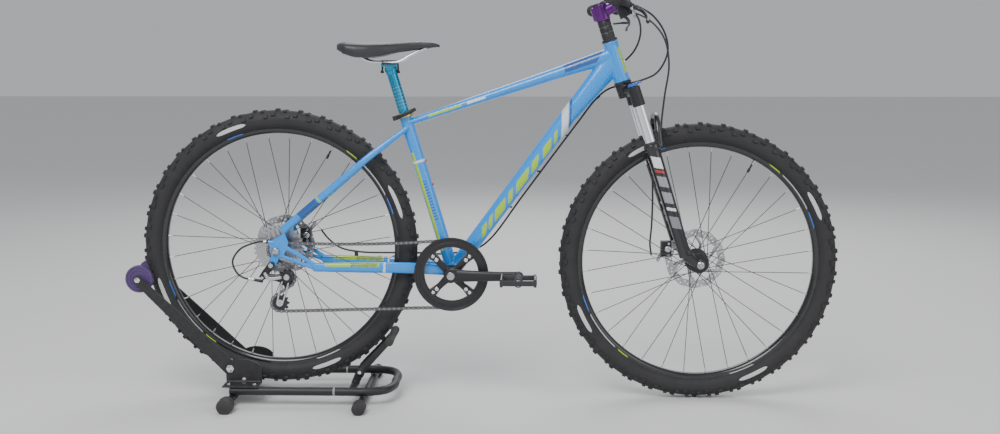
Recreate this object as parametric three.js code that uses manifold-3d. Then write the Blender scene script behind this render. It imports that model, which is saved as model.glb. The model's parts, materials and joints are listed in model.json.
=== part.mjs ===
// A hardtail mountain bicycle held by its rear wheel in a roller stand.
// Millimetres, +Z up, +X forwards, +Y to the rider's left. The wheels' plane is Y = 0.
import * as THREE from "three";
import { mergeVertices } from "three/addons/utils/BufferGeometryUtils.js";
import Module from "manifold-3d";

const wasm = await Module();
wasm.setup();

// ---------------------------------------------------------------- driving dimensions
const GAP = 0.3; // clearance between pieces that rest on or pass through each other

// wheels
const TYRE_RADIUS = 366;
const TYRE_HALF_WIDTH = 28;
const TYRE_WALL = 3;
const RIM_RADIUS = 316;
const RIM_DEPTH = 15;
const RIM_HALF_WIDTH = 13;
const WHEEL_RAISE = 34; // the stand lifts the rear tyre this far off the floor
const WHEELBASE = 1098;
const SPOKES_PER_SIDE = 16;
const SPOKE_RADIUS = 1.1;
const SPOKE_HEAD_OFFSET = 2.4; // neighbouring spokes leave opposite faces of the flange
const ROTOR_RADIUS = 80;
const ROTOR_THICKNESS = 1.8;
const ROTOR_BORE = 17;
const REAR_HUB_HALF = 67.5;
const FRONT_HUB_HALF = 50;
const REAR_ROTOR_Y = 52;
const FRONT_ROTOR_Y = 39.5;

// frame
const BB_FORWARD = 454;
const BB_DROP = 62;
const BB_SHELL_RADIUS = 21;
const BB_SHELL_HALF = 36.5;
const SEAT_ANGLE = THREE.MathUtils.degToRad(73.4);
const SEAT_TUBE_LENGTH = 432;
const SEAT_POST_RADIUS = 13.6;
const SEAT_TUBE_WALL = 2.9;
const SEAT_TUBE_RADIUS = SEAT_POST_RADIUS + SEAT_TUBE_WALL;
const HEAD_ANGLE = THREE.MathUtils.degToRad(72.1);
const HEAD_LENGTH = 104;
const HEAD_RADIUS_LOW = 20.5;
const HEAD_RADIUS_TOP = 18.5;
const HEADSET_STACK = 9; // each headset cup
const STEERER_RADIUS = 14.3;
const AXLE_TO_HEAD = 511; // front axle to the head tube's lower end, along the steering axis
const FORK_OFFSET = 49;
const STAY_DROPOUT_Y = 70.5;
const DROPOUT_THICKNESS = 5;

// seat
const POST_SHOWN = 128; // seat tube's top to the rail clamp
const POST_INSERTED = 110;
const SADDLE_LENGTH = 266;
const SADDLE_WIDTH = 144;
const SADDLE_NOSE_WIDTH = 38;
const SADDLE_SETBACK = 135; // saddle's tail behind the rail clamp

// fork
const FORK_TRAVEL = 90;
const TAB_THICKNESS = 9; // fork dropout
const LEG_Y = 65;
const LEG_FORWARD = 18; // legs ahead of the steering axis
const STANCHION_RADIUS = 14.5;
const LOWER_LEG_WALL = 4.5;
const LOWER_LEG_RADIUS = STANCHION_RADIUS + LOWER_LEG_WALL;
const CROWN_SLEEVE_WALL = 2;
const CROWN_LEG_RADIUS = STANCHION_RADIUS + CROWN_SLEEVE_WALL;

// cockpit
const SPACER_HEIGHT = 48;
const SPACER_RADIUS = 16.5;
const STEM_HEIGHT = 42;
const STEM_LENGTH = 58;
const BAR_HALF = 350;
const BAR_ELBOW = 60; // straight stretch each side of the stem
const BAR_SWEEP = THREE.MathUtils.degToRad(11);
const BAR_RADIUS = 11.1;
const BAR_CLAMP_RADIUS = 15.9;
const GRIP_LENGTH = 130;
const GRIP_RADIUS = 16;

// drive
const CHAIN_PITCH = 12.7;
const RING_TEETH = 44;
const COG_TEETH = 11;
const COG_COUNT = 8;
const COG_STEP = 4.8;
const LARGEST_COG_TEETH = 32;
const PULLEY_TEETH = 11;
const RING_Y = -48;
const COG_Y = -61.5;
const TOOTH_HALF = 0.9;
const CRANK_LENGTH = 175;
const GUARD_RADIUS = 96.5;
const PEDAL_LENGTH = 94;
const PEDAL_WIDTH = 88;

// stand
const BASE_TUBE_RADIUS = 11;
const BASE_HALF_WIDTH = 110;
const BASE_HEIGHT = 38;
const BASE_BACK = -118;
const BASE_FRONT = 300;
const BASE_BEND = 62;
const REAR_FEET_X = -116;
const FRONT_FEET_X = 225;
const FEET_HALF_SPAN = 196;
const REAR_FOOT_RADIUS = 20;
const FRONT_FOOT_RADIUS = 17;
const FOOT_LENGTH = 38;
const FOOT_FLAT = 1.5; // how much of each foot is flattened
const BRACKET_BACK = -139;
const BRACKET_FRONT = -45;
const BRACKET_TOP = 112;
const BRACKET_Y = 70;
const ARM_PIVOT_X = -128;
const ARM_PIVOT_Z = 87;
const ARM_Y = BRACKET_Y - GAP; // outer faces of the arm's plates
const ARM_THICKNESS = 4;
const ARM_WIDTH = 28;
const ROLLER_RADIUS = 36;
const ROLLER_CORE_RADIUS = 8;
const ROLLER_SHAFT_RADIUS = 4;
const ROLLER_HALF = 58;
const ROLLER_DISC_WIDTH = 14;
const ROLLER_ANGLE = THREE.MathUtils.degToRad(12.1); // contact point below the rear axle's level
const CRADLE_X = 195;
const CRADLE_Y = 40;
const CRADLE_THICKNESS = 5;
const PEG_RADIUS = 11;
const PEG_HALF = 75;
const PEG_ANGLE = THREE.MathUtils.degToRad(39.4); // contact point below the rear axle's level

// ---------------------------------------------------------------- points that follow from them
const point = (x, y, z) => new THREE.Vector3(x, y, z);
const lerp = THREE.MathUtils.lerp;
const Y_AXIS = point(0, 1, 0);

const rearAxle = point(0, 0, TYRE_RADIUS + WHEEL_RAISE);
const frontAxle = point(WHEELBASE, 0, TYRE_RADIUS);
const bottomBracket = point(BB_FORWARD, 0, rearAxle.z - BB_DROP);
const seatUp = point(-Math.cos(SEAT_ANGLE), 0, Math.sin(SEAT_ANGLE));
const seatForward = point(Math.sin(SEAT_ANGLE), 0, Math.cos(SEAT_ANGLE));
const steerUp = point(-Math.cos(HEAD_ANGLE), 0, Math.sin(HEAD_ANGLE));
const steerForward = point(Math.sin(HEAD_ANGLE), 0, Math.cos(HEAD_ANGLE));
const headBottom = frontAxle
  .clone()
  .addScaledVector(steerUp, AXLE_TO_HEAD)
  .addScaledVector(steerForward, -FORK_OFFSET);

// A point `up` along the seat tube from the bottom bracket, `forward` of its axis, at `y`.
function onSeat(up, forward = 0, y = 0) {
  return bottomBracket.clone().addScaledVector(seatUp, up).addScaledVector(seatForward, forward).setY(y);
}

// A point `up` along the steering axis from the head tube's lower end, `forward` of it, at `y`.
function onSteer(up, forward = 0, y = 0) {
  return headBottom.clone().addScaledVector(steerUp, up).addScaledVector(steerForward, forward).setY(y);
}

// ---------------------------------------------------------------- shapes
// Turns a three.js geometry into a manifold solid.
function solid(geometry) {
  const plain = geometry.clone();
  plain.deleteAttribute("normal");
  plain.deleteAttribute("uv");
  const merged = mergeVertices(plain, 1e-4);
  return new wasm.Manifold(
    new wasm.Mesh({
      numProp: 3,
      vertProperties: new Float32Array(merged.attributes.position.array),
      triVerts: new Uint32Array(merged.index.array),
    }),
  );
}

// Joins several solids into one.
function join(...solids) {
  return solids.reduce((whole, next) => whole.add(next));
}

// Cuts every later solid from the first.
function cut(whole, ...tools) {
  return tools.reduce((rest, tool) => rest.subtract(tool), whole);
}

// The mirror image of a solid across the plane Y = 0.
function mirrored(piece) {
  return piece.mirror([0, 1, 0]);
}

// A straight bar from a to b. `across` squeezes it in its side view and `wide` along Y.
function bar(a, b, radiusA, radiusB = radiusA, { sides = 8, across = 1, wide = 1 } = {}) {
  const along = b.clone().sub(a);
  const geometry = new THREE.CylinderGeometry(radiusB, radiusA, along.length(), sides);
  geometry.scale(across, 1, wide);
  const direction = along.clone().normalize();
  const helper = Math.abs(direction.y) > 0.9 ? point(0, 0, 1) : Y_AXIS;
  const side = direction.clone().cross(helper).normalize();
  const width = side.clone().cross(direction).normalize();
  geometry.applyMatrix4(new THREE.Matrix4().makeBasis(side, direction, width));
  const middle = a.clone().add(b).multiplyScalar(0.5);
  geometry.translate(middle.x, middle.y, middle.z);
  return solid(geometry);
}

// A tool that cuts a hole for a round rod of this radius: its flats stay GAP clear of the rod.
function bore(a, b, radius, sides = 12) {
  const reach = (radius + GAP) / Math.cos(Math.PI / sides);
  return bar(a, b, reach, reach, { sides });
}

// The same hole about an axis along Y.
function boreAcross(centre, radius, yLow, yHigh, sides = 12) {
  return bore(point(centre.x, yLow, centre.z), point(centre.x, yHigh, centre.z), radius, sides);
}

// A round bar that follows a smooth curve through the points.
function bent(points, radius, { sides = 8, steps = 24 } = {}) {
  const path = new THREE.CatmullRomCurve3(points, false, "centripetal");
  const section = new THREE.Shape(circlePoints(radius, sides));
  return solid(new THREE.ExtrudeGeometry(section, { extrudePath: path, steps, bevelEnabled: false }));
}

function circlePoints(radius, sides, turn = 0) {
  return Array.from({ length: sides }, (_, i) => {
    const angle = turn + (i / sides) * 2 * Math.PI;
    return new THREE.Vector2(radius * Math.cos(angle), radius * Math.sin(angle));
  });
}

// A ring or disc about an axis along Y through `centre`: profile pairs are [radius, y].
function turned(profile, centre, segments = 32) {
  const geometry = new THREE.LatheGeometry(
    profile.map(([radius, y]) => new THREE.Vector2(radius, y)),
    segments,
  );
  geometry.translate(centre.x, centre.y, centre.z);
  return facingOut(geometry);
}

// A solid whose faces point out, whichever way round the geometry lists its corners.
function facingOut(geometry) {
  const made = solid(geometry);
  if (made.volume() > 0) return made;
  const index = geometry.index.array;
  for (let i = 0; i < index.length; i += 3) [index[i], index[i + 1]] = [index[i + 1], index[i]];
  return solid(geometry);
}

// A closed ring profile repeats its first point at the end.
function ring(profile, centre, segments) {
  return turned([...profile, profile[0]], centre, segments);
}

// A drum about an axis along Y, from yLow to yHigh.
function drum(centre, radius, yLow, yHigh, sides = 12) {
  return bar(point(centre.x, yLow, centre.z), point(centre.x, yHigh, centre.z), radius, radius, { sides });
}

// A flat plate in the XZ plane, from an outline of [x, z] pairs, between yLow and yHigh.
function plate(outline, yLow, yHigh, holes = []) {
  const shape = new THREE.Shape(outline.map(([x, z]) => new THREE.Vector2(x, z)));
  for (const hole of holes) shape.holes.push(new THREE.Path(hole.map(([x, z]) => new THREE.Vector2(x, z))));
  const geometry = new THREE.ExtrudeGeometry(shape, { depth: yHigh - yLow, bevelEnabled: false });
  geometry.rotateX(Math.PI / 2);
  geometry.translate(0, yHigh, 0);
  return solid(geometry);
}

function box(centre, x, y, z) {
  const geometry = new THREE.BoxGeometry(x, y, z);
  geometry.translate(centre.x, centre.y, centre.z);
  return solid(geometry);
}

// ---------------------------------------------------------------- finishes
function finish(color, roughness, metalness) {
  return () => new THREE.MeshStandardMaterial({ color, roughness, metalness });
}

const skyPaint = finish(0x38b6f1, 0.3, 0.1);
const blackPowder = finish(0x17181a, 0.55, 0.2);
const blackPaint = finish(0x141416, 0.35, 0.2);
const blackPlastic = finish(0x1b1c1e, 0.6, 0);
const rubber = finish(0x1d1d1f, 0.85, 0);
const steel = finish(0xa9acb0, 0.3, 0.95);
const anodisedBlue = finish(0x1683b8, 0.3, 0.8);
const anodisedPurple = finish(0x7d2f86, 0.3, 0.8);
const anodisedGold = finish(0xc8ac6a, 0.3, 0.9);
const anodisedRoyal = finish(0x3a3fc4, 0.3, 0.8);
const saddleSkin = finish(0x1f2023, 0.6, 0);

const bicycle = new THREE.Group();

// Adds one named piece to the model.
function add(name, piece, material) {
  const data = piece.getMesh();
  const geometry = new THREE.BufferGeometry();
  geometry.setAttribute("position", new THREE.BufferAttribute(data.vertProperties, 3));
  geometry.setIndex(new THREE.BufferAttribute(data.triVerts, 1));
  geometry.computeVertexNormals();
  const mesh = new THREE.Mesh(geometry, material());
  mesh.name = name;
  bicycle.add(mesh);
}

// ---------------------------------------------------------------- wheels
const RIM_INNER_RADIUS = RIM_RADIUS - RIM_DEPTH;
const WHEEL_SEGMENTS = 36;

// A tyre: a C-shaped wall, open towards the rim.
function tyre(axle) {
  const middle = (TYRE_RADIUS + RIM_RADIUS) / 2;
  const half = (TYRE_RADIUS - RIM_RADIUS) / 2;
  const foot = RIM_RADIUS + GAP;
  const wall = (outset, count) =>
    Array.from({ length: count }, (_, i) => {
      const angle = lerp(-0.78, 0.78, i / (count - 1)) * Math.PI;
      const radius = Math.max(middle + (half - outset) * Math.cos(angle), foot);
      return [radius, (TYRE_HALF_WIDTH - outset) * Math.sin(angle)];
    });
  return ring([...wall(0, 6), ...wall(TYRE_WALL, 3).reverse()], axle, WHEEL_SEGMENTS);
}

// A box-section rim with a shallow well for the tyre.
function rim(axle) {
  const w = RIM_HALF_WIDTH;
  const well = RIM_RADIUS - 5;
  const profile = [
    [RIM_RADIUS, -w],
    [well, -w + 4],
    [well, w - 4],
    [RIM_RADIUS, w],
    [RIM_INNER_RADIUS, 6],
    [RIM_INNER_RADIUS, -6],
  ];
  return ring(profile, axle, WHEEL_SEGMENTS);
}

// One side's spokes, crossing each other in pairs between the flange and the rim.
function spokes(axle, flangeRadius, flangeY, offset) {
  const pitch = (2 * Math.PI) / SPOKES_PER_SIDE;
  const crossing = 3 * pitch;
  const end = RIM_INNER_RADIUS * Math.cos(Math.PI / WHEEL_SEGMENTS) - GAP - SPOKE_RADIUS;
  return Array.from({ length: SPOKES_PER_SIDE }, (_, i) => {
    const rimAngle = (i + offset) * pitch;
    const hubAngle = rimAngle + (i % 2 ? crossing : -crossing);
    const headY = flangeY + (i % 2 ? SPOKE_HEAD_OFFSET : -SPOKE_HEAD_OFFSET);
    const inner = point(flangeRadius * Math.cos(hubAngle), headY, flangeRadius * Math.sin(hubAngle));
    const outer = point(end * Math.cos(rimAngle), flangeY * 0.12, end * Math.sin(rimAngle));
    return bar(inner.add(axle), outer.add(axle), SPOKE_RADIUS, SPOKE_RADIUS, { sides: 3 });
  });
}

// A hub shell with two spoked flanges; `profile` is its outline from right to left.
function spokedHub(axle, profile, right, left, rotorY) {
  const shell = turned(profile, axle, 10);
  const rotorSeat = drum(axle, 21, left.y, rotorY - ROTOR_THICKNESS / 2 - GAP, 10);
  const wires = [...spokes(axle, right.radius, right.y, 0), ...spokes(axle, left.radius, left.y, 0.5)];
  return join(shell, rotorSeat, ...wires);
}

// A brake disc: a band on five swept arms.
function rotor(axle, y) {
  const low = y - ROTOR_THICKNESS / 2;
  const high = y + ROTOR_THICKNESS / 2;
  const bandInner = ROTOR_RADIUS - 13;
  const circle = (radius, sides) =>
    circlePoints(radius, sides).map((p) => [axle.x + p.x, axle.z + p.y]);
  const band = plate(circle(ROTOR_RADIUS, 24), low, high, [circle(bandInner, 20).reverse()]);
  const carrier = plate(circle(29, 10), low, high, [circle(ROTOR_BORE, 10).reverse()]);
  const arms = Array.from({ length: 5 }, (_, i) => {
    const start = (i / 5) * 2 * Math.PI;
    const finishAngle = start + 0.55;
    const inner = [axle.x + 26 * Math.cos(start), axle.z + 26 * Math.sin(start)];
    const outer = [
      axle.x + (bandInner + 3) * Math.cos(finishAngle),
      axle.z + (bandInner + 3) * Math.sin(finishAngle),
    ];
    return strut(inner, outer, 5, low, high);
  });
  return join(band, carrier, ...arms);
}

// A straight flat strip between two [x, z] points.
function strut([x1, z1], [x2, z2], width, yLow, yHigh, widthEnd = width) {
  const length = Math.hypot(x2 - x1, z2 - z1);
  const nx = (-(z2 - z1) / length) * 0.5;
  const nz = ((x2 - x1) / length) * 0.5;
  const outline = [
    [x1 - nx * width, z1 - nz * width],
    [x2 - nx * widthEnd, z2 - nz * widthEnd],
    [x2 + nx * widthEnd, z2 + nz * widthEnd],
    [x1 + nx * width, z1 + nz * width],
  ];
  return plate(outline, yLow, yHigh);
}

const CASSETTE_INNER_Y = COG_Y + (COG_COUNT - 1) * COG_STEP;
const AXLE_RADIUS = 7;

function buildWheels() {
  add("rear_tyre", tyre(rearAxle), rubber);
  add("front_tyre", tyre(frontAxle), rubber);
  add("rear_rim", rim(rearAxle), blackPaint);
  add("front_rim", rim(frontAxle), blackPaint);

  const rearRight = { radius: 24, y: -19 };
  const rearLeft = { radius: 28, y: 34 };
  const rearEnd = REAR_HUB_HALF - 1;
  const rearProfile = [
    [0, -rearEnd],
    [AXLE_RADIUS, -rearEnd],
    [AXLE_RADIUS, CASSETTE_INNER_Y + 4],
    [18, CASSETTE_INNER_Y + 4],
    [rearRight.radius + 4, rearRight.y - 2],
    [rearRight.radius + 4, rearRight.y + 2],
    [16, rearRight.y + 8],
    [16, rearLeft.y - 8],
    [rearLeft.radius + 4, rearLeft.y - 2],
    [rearLeft.radius + 4, rearLeft.y + 2],
    [21, rearLeft.y + 5],
    [ROTOR_BORE - 1.5, rearLeft.y + 8],
    [ROTOR_BORE - 1.5, REAR_ROTOR_Y + 2],
    [AXLE_RADIUS, rearEnd],
    [0, rearEnd],
  ];
  add("rear_hub", spokedHub(rearAxle, rearProfile, rearRight, rearLeft, REAR_ROTOR_Y), blackPaint);

  const frontRight = { radius: 22, y: -33 };
  const frontLeft = { radius: 27, y: 22 };
  const frontEnd = FRONT_HUB_HALF - 1;
  const frontProfile = [
    [0, -frontEnd],
    [8, -frontEnd],
    [12, frontRight.y - 4],
    [frontRight.radius + 4, frontRight.y - 2],
    [frontRight.radius + 4, frontRight.y + 2],
    [13, frontRight.y + 8],
    [13, frontLeft.y - 8],
    [frontLeft.radius + 4, frontLeft.y - 2],
    [frontLeft.radius + 4, frontLeft.y + 2],
    [21, frontLeft.y + 5],
    [ROTOR_BORE - 1.5, frontLeft.y + 8],
    [ROTOR_BORE - 1.5, FRONT_ROTOR_Y + 2],
    [8, frontEnd],
    [0, frontEnd],
  ];
  add("front_hub", spokedHub(frontAxle, frontProfile, frontRight, frontLeft, FRONT_ROTOR_Y), blackPaint);
  add("rear_rotor", rotor(rearAxle, REAR_ROTOR_Y), steel);
  add("front_rotor", rotor(frontAxle, FRONT_ROTOR_Y), steel);
}

// ---------------------------------------------------------------- frame
const POST_BORE_DEPTH = 262;
const CABLE_RADIUS = 2.5;
const DOWN_TUBE_HALF = 21.5;
const TOP_TUBE_LOW_HALF = 8.5;
const TOP_TUBE_HIGH_HALF = 15;
const TOP_TUBE_NECK_HALF = 21;
const TOP_TUBE_WIDE = 17;
const topTubeStart = onSeat(SEAT_TUBE_LENGTH - 25);
const topTubeEnd = onSteer(HEAD_LENGTH - 33);
const downTubeAim = onSteer(HEAD_LENGTH * 0.67);
const downTubeEnd = onSteer(HEAD_LENGTH * 0.57);

function headTube(extra = 0) {
  return bar(
    onSteer(-extra),
    onSteer(HEAD_LENGTH + extra),
    HEAD_RADIUS_LOW + extra,
    HEAD_RADIUS_TOP + extra,
    { sides: 14 },
  );
}

function seatTube(extra = 0) {
  const radius = SEAT_TUBE_RADIUS + extra;
  return bar(bottomBracket, onSeat(SEAT_TUBE_LENGTH + extra), radius, radius, { sides: 14 });
}

function shell(extra = 0) {
  const radius = BB_SHELL_RADIUS + extra;
  return drum(bottomBracket, radius, -BB_SHELL_HALF - extra, BB_SHELL_HALF + extra, 16);
}

// The down tube, deeper where it meets the head tube.
function downTube(extra = 0) {
  const swell = bottomBracket.clone().lerp(downTubeAim, 0.72);
  const half = DOWN_TUBE_HALF + extra;
  const tube = taperedOval(bottomBracket, swell, half - 2, half, half * 0.9, half * 0.95, 12);
  const gusset = taperedOval(swell, downTubeEnd, half, half + 8.5, half * 0.95, half * 0.8, 12);
  return join(tube, gusset);
}

function topTube(extra = 0) {
  const swell = topTubeStart.clone().lerp(topTubeEnd, 0.72);
  const low = TOP_TUBE_LOW_HALF + extra;
  const high = TOP_TUBE_HIGH_HALF + extra;
  const neck = TOP_TUBE_NECK_HALF + extra;
  const wide = TOP_TUBE_WIDE + extra;
  return join(
    taperedOval(topTubeStart, swell, low, high, wide, wide),
    taperedOval(swell, topTubeEnd, high, neck, wide, wide),
  );
}

// A tube of oval section from a to b, with its own half height and half width at each end.
function taperedOval(a, b, heightA, heightB, wideA, wideB, sides = 8) {
  const along = b.clone().sub(a);
  const geometry = new THREE.CylinderGeometry(1, 1, along.length(), sides);
  const position = geometry.attributes.position;
  for (let i = 0; i < position.count; i++) {
    const t = position.getY(i) / along.length() + 0.5;
    position.setX(i, position.getX(i) * lerp(heightA, heightB, t));
    position.setZ(i, position.getZ(i) * lerp(wideA, wideB, t));
  }
  const direction = along.clone().normalize();
  const side = direction.clone().cross(Y_AXIS).normalize();
  const width = side.clone().cross(direction).normalize();
  geometry.applyMatrix4(new THREE.Matrix4().makeBasis(side, direction, width));
  const middle = a.clone().add(b).multiplyScalar(0.5);
  geometry.translate(middle.x, middle.y, middle.z);
  return solid(geometry);
}

// The right-hand chainstay with its dropout plate; the left one is its mirror image.
function chainstay() {
  const root = bottomBracket.clone().add(point(-8, -30, 6));
  const waist = point(rearAxle.x + 345, -38.5, lerp(rearAxle.z, bottomBracket.z, 0.78));
  const middle = point(rearAxle.x + 225, -50, lerp(rearAxle.z, bottomBracket.z, 0.74));
  const back = point(rearAxle.x + 96, -STAY_DROPOUT_Y + 4, lerp(rearAxle.z, bottomBracket.z, 0.69));
  const arm = join(
    taperedOval(root, waist, 14, 15, 6, 5.5),
    taperedOval(waist, middle, 15, 14, 5.5, 8),
    taperedOval(middle, back, 14, 11.5, 8, 6.5),
  );
  return join(arm, dropout(back));
}

// The dropout: a plate with the axle slot, and two struts that run forwards to the chainstay.
function dropout(back) {
  const yLow = -STAY_DROPOUT_Y - DROPOUT_THICKNESS / 2;
  const yHigh = -STAY_DROPOUT_Y + DROPOUT_THICKNESS / 2;
  const { x, z } = rearAxle;
  const outline = [
    [x - 17, z + 24],
    [x - 12, z - 14],
    [x - 20, z - 26],
    [x - 14, z - 42],
    [x - 2, z - 42],
    [x + 10, z - 16],
    [x + 24, z - 6],
    [x + 34, z + 22],
    [x + 10, z + 34],
  ];
  const face = plate(outline, yLow, yHigh);
  const upper = strut([x + 20, z + 14], [back.x + 6, back.z + 6], 12, yLow, yHigh);
  const lower = strut([x + 6, z - 10], [back.x + 10, back.z - 5], 11, yLow, yHigh);
  return cut(join(face, upper, lower), drum(rearAxle, AXLE_RADIUS + 1, yLow - 1, yHigh + 1, 16));
}

const seatstayFoot = point(rearAxle.x + 17, -STAY_DROPOUT_Y + 3, rearAxle.z + 52);
const seatstayKnee = point(rearAxle.x + 236, -50, rearAxle.z + 238);
const seatstayTop = onSeat(SEAT_TUBE_LENGTH - 36, 0, -13);
const BRIDGE_SHARE = 0.42; // the bridge's place between the stays' knees and their tops

function seatstay(extra = 0) {
  return join(
    taperedOval(seatstayFoot, seatstayKnee, 10.5 + extra, 9 + extra, 7.5 + extra, 7 + extra),
    taperedOval(seatstayKnee, seatstayTop, 9 + extra, 7 + extra, 7 + extra, 8 + extra),
  );
}

const portFrom = onSteer(38, 8, 14);
const portTo = onSteer(43, 15, 27);
const dropoutPort = point(rearAxle.x - 22, -STAY_DROPOUT_Y, rearAxle.z + 24.5);

function buildFrame() {
  const cupTop = bar(
    onSteer(HEAD_LENGTH - 4),
    onSteer(HEAD_LENGTH + HEADSET_STACK),
    HEAD_RADIUS_TOP + 2,
    HEAD_RADIUS_TOP + 1,
    { sides: 14 },
  );
  const steererBore = bore(
    onSteer(-2 * HEADSET_STACK),
    onSteer(HEAD_LENGTH + 2 * HEADSET_STACK),
    STEERER_RADIUS,
  );
  const port = bar(portFrom, portTo, CABLE_RADIUS + 1.5, CABLE_RADIUS + 1, { sides: 8 });
  add("head_tube", cut(join(headTube(), lowerCup(), cupTop, port), steererBore), skyPaint);

  const aheadOfHead = steerBox(HEAD_LENGTH / 2, 70, 140, 120, 3 * HEAD_LENGTH);
  const pastHead = join(headTube(GAP), lowerCup(GAP), aheadOfHead);
  add("top_tube", largest(cut(topTube(), pastHead, seatTube(GAP))), skyPaint);

  const belowCup = steerBox(-30, 0, 90, 120, 56);
  const downClear = join(shell(GAP), seatTube(GAP), pastHead, belowCup);
  add("down_tube", largest(cut(downTube(), downClear, topTube(GAP))), skyPaint);

  const spindleBore = boreAcross(bottomBracket, SPINDLE_RADIUS, -BB_SHELL_HALF - 1, BB_SHELL_HALF + 1);
  const postBore = bore(
    onSeat(SEAT_TUBE_LENGTH - POST_BORE_DEPTH),
    onSeat(SEAT_TUBE_LENGTH + 5),
    SEAT_POST_RADIUS,
  );
  add("seat_tube", cut(join(seatTube(), shell()), spindleBore, postBore), skyPaint);

  const stayClear = join(shell(GAP), seatTube(GAP), downTube(GAP), seatstay(GAP));
  const rightChainstay = cut(chainstay(), stayClear);
  const dropoutBoss = bar(point(rearAxle.x - 4, -STAY_DROPOUT_Y, rearAxle.z + 22), dropoutPort, 4.5, CABLE_RADIUS + 1, {
    sides: 8,
  });
  add("right_chainstay", largest(join(rightChainstay, dropoutBoss)), skyPaint);
  add("left_chainstay", largest(mirrored(rightChainstay)), skyPaint);

  const rightStay = cut(seatstay(), seatTube(GAP));
  const bridgeAt = seatstayKnee.clone().lerp(seatstayTop, BRIDGE_SHARE);
  const bridge = bar(bridgeAt, point(bridgeAt.x, -bridgeAt.y, bridgeAt.z), 6);
  add("seatstays", largest(join(rightStay, mirrored(rightStay), bridge)), skyPaint);
}

// The lower headset cup, pressed into the head tube.
function lowerCup(extra = 0) {
  const radius = HEAD_RADIUS_LOW + 1.5 + extra;
  return bar(onSteer(-HEADSET_STACK - extra), onSteer(4 + extra), radius, radius, { sides: 14 });
}

// A box that stands square to the steering axis: x runs forwards and z up along it.
function steerBox(up, forward, x, y, z) {
  return box(point(forward, 0, up), x, y, z)
    .rotate([0, THREE.MathUtils.radToDeg(HEAD_ANGLE) - 90, 0])
    .translate([headBottom.x, 0, headBottom.z]);
}

// The largest of the separate bodies that a cut leaves.
function largest(piece) {
  const bodies = piece.decompose();
  return bodies.reduce((best, body) => (body.volume() > best.volume() ? body : best));
}

// ---------------------------------------------------------------- seat
const CLAMP_HEIGHT = 13;
const CAM_RADIUS = 6.5; // the quick-release levers' cams
const clampY = SEAT_TUBE_RADIUS + 5;

function buildSeat() {
  const clampLow = onSeat(SEAT_TUBE_LENGTH - CLAMP_HEIGHT + 3);
  const clampHigh = onSeat(SEAT_TUBE_LENGTH + 3);
  const belowClamp = onSeat(SEAT_TUBE_LENGTH - 2 * CLAMP_HEIGHT);
  const collar = cut(
    join(
      bar(clampLow, clampHigh, clampY, clampY, { sides: 14 }),
      bar(onSeat(SEAT_TUBE_LENGTH - 4, -clampY - 3, -12), onSeat(SEAT_TUBE_LENGTH - 4, -clampY - 3, 12), 5.5, 5.5, {
        sides: 8,
      }),
      bar(onSeat(SEAT_TUBE_LENGTH - 4, -clampY + 2, 0), onSeat(SEAT_TUBE_LENGTH - 4, -clampY - 3, 0), 5.5, 5.5, {
        sides: 8,
      }),
    ),
    bore(belowClamp, onSeat(SEAT_TUBE_LENGTH + GAP), SEAT_TUBE_RADIUS, 14),
    bore(belowClamp, onSeat(SEAT_TUBE_LENGTH + 20), SEAT_POST_RADIUS + 0.4),
  );
  add("seat_clamp", largest(collar), anodisedGold);

  const camY = -12 - GAP - CAM_RADIUS;
  const lever = join(
    bar(
      onSeat(SEAT_TUBE_LENGTH - 10, -clampY - 3, camY),
      onSeat(SEAT_TUBE_LENGTH + 2, -clampY - 3, camY),
      CAM_RADIUS,
    ),
    bent(
      [
        onSeat(SEAT_TUBE_LENGTH - 4, -clampY - 3, camY),
        onSeat(SEAT_TUBE_LENGTH - 3, -clampY + 14, -27),
        onSeat(SEAT_TUBE_LENGTH + 1, clampY - 2, -29),
        onSeat(SEAT_TUBE_LENGTH + 4, clampY + 12, -22),
      ],
      3.4,
      { sides: 6, steps: 9 },
    ),
  );
  add("seat_clamp_lever", lever, anodisedGold);

  const railClamp = onSeat(SEAT_TUBE_LENGTH + POST_SHOWN);
  const post = bar(
    onSeat(SEAT_TUBE_LENGTH - POST_INSERTED),
    railClamp,
    SEAT_POST_RADIUS,
    SEAT_POST_RADIUS,
    { sides: 12 },
  );
  const cradle = join(
    box(railClamp.clone().add(point(0, 0, 2)), 40, 36, 9),
    drum(railClamp.clone().add(point(0, 0, -4)), 9, -18, 18, 10),
  );
  const bolts = [-20, 22].map((x) =>
    bar(
      railClamp.clone().add(point(x, 0, -18)),
      railClamp.clone().add(point(x * 0.9, 0, 16)),
      3.5,
      3.5,
      { sides: 6 },
    ),
  );
  const ears = box(railClamp.clone().add(point(0, 0, 1)), 52, 14, 7);
  add("seat_post", join(post, cradle, ears, ...bolts), anodisedBlue);
  buildSaddle(railClamp);
}

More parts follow.
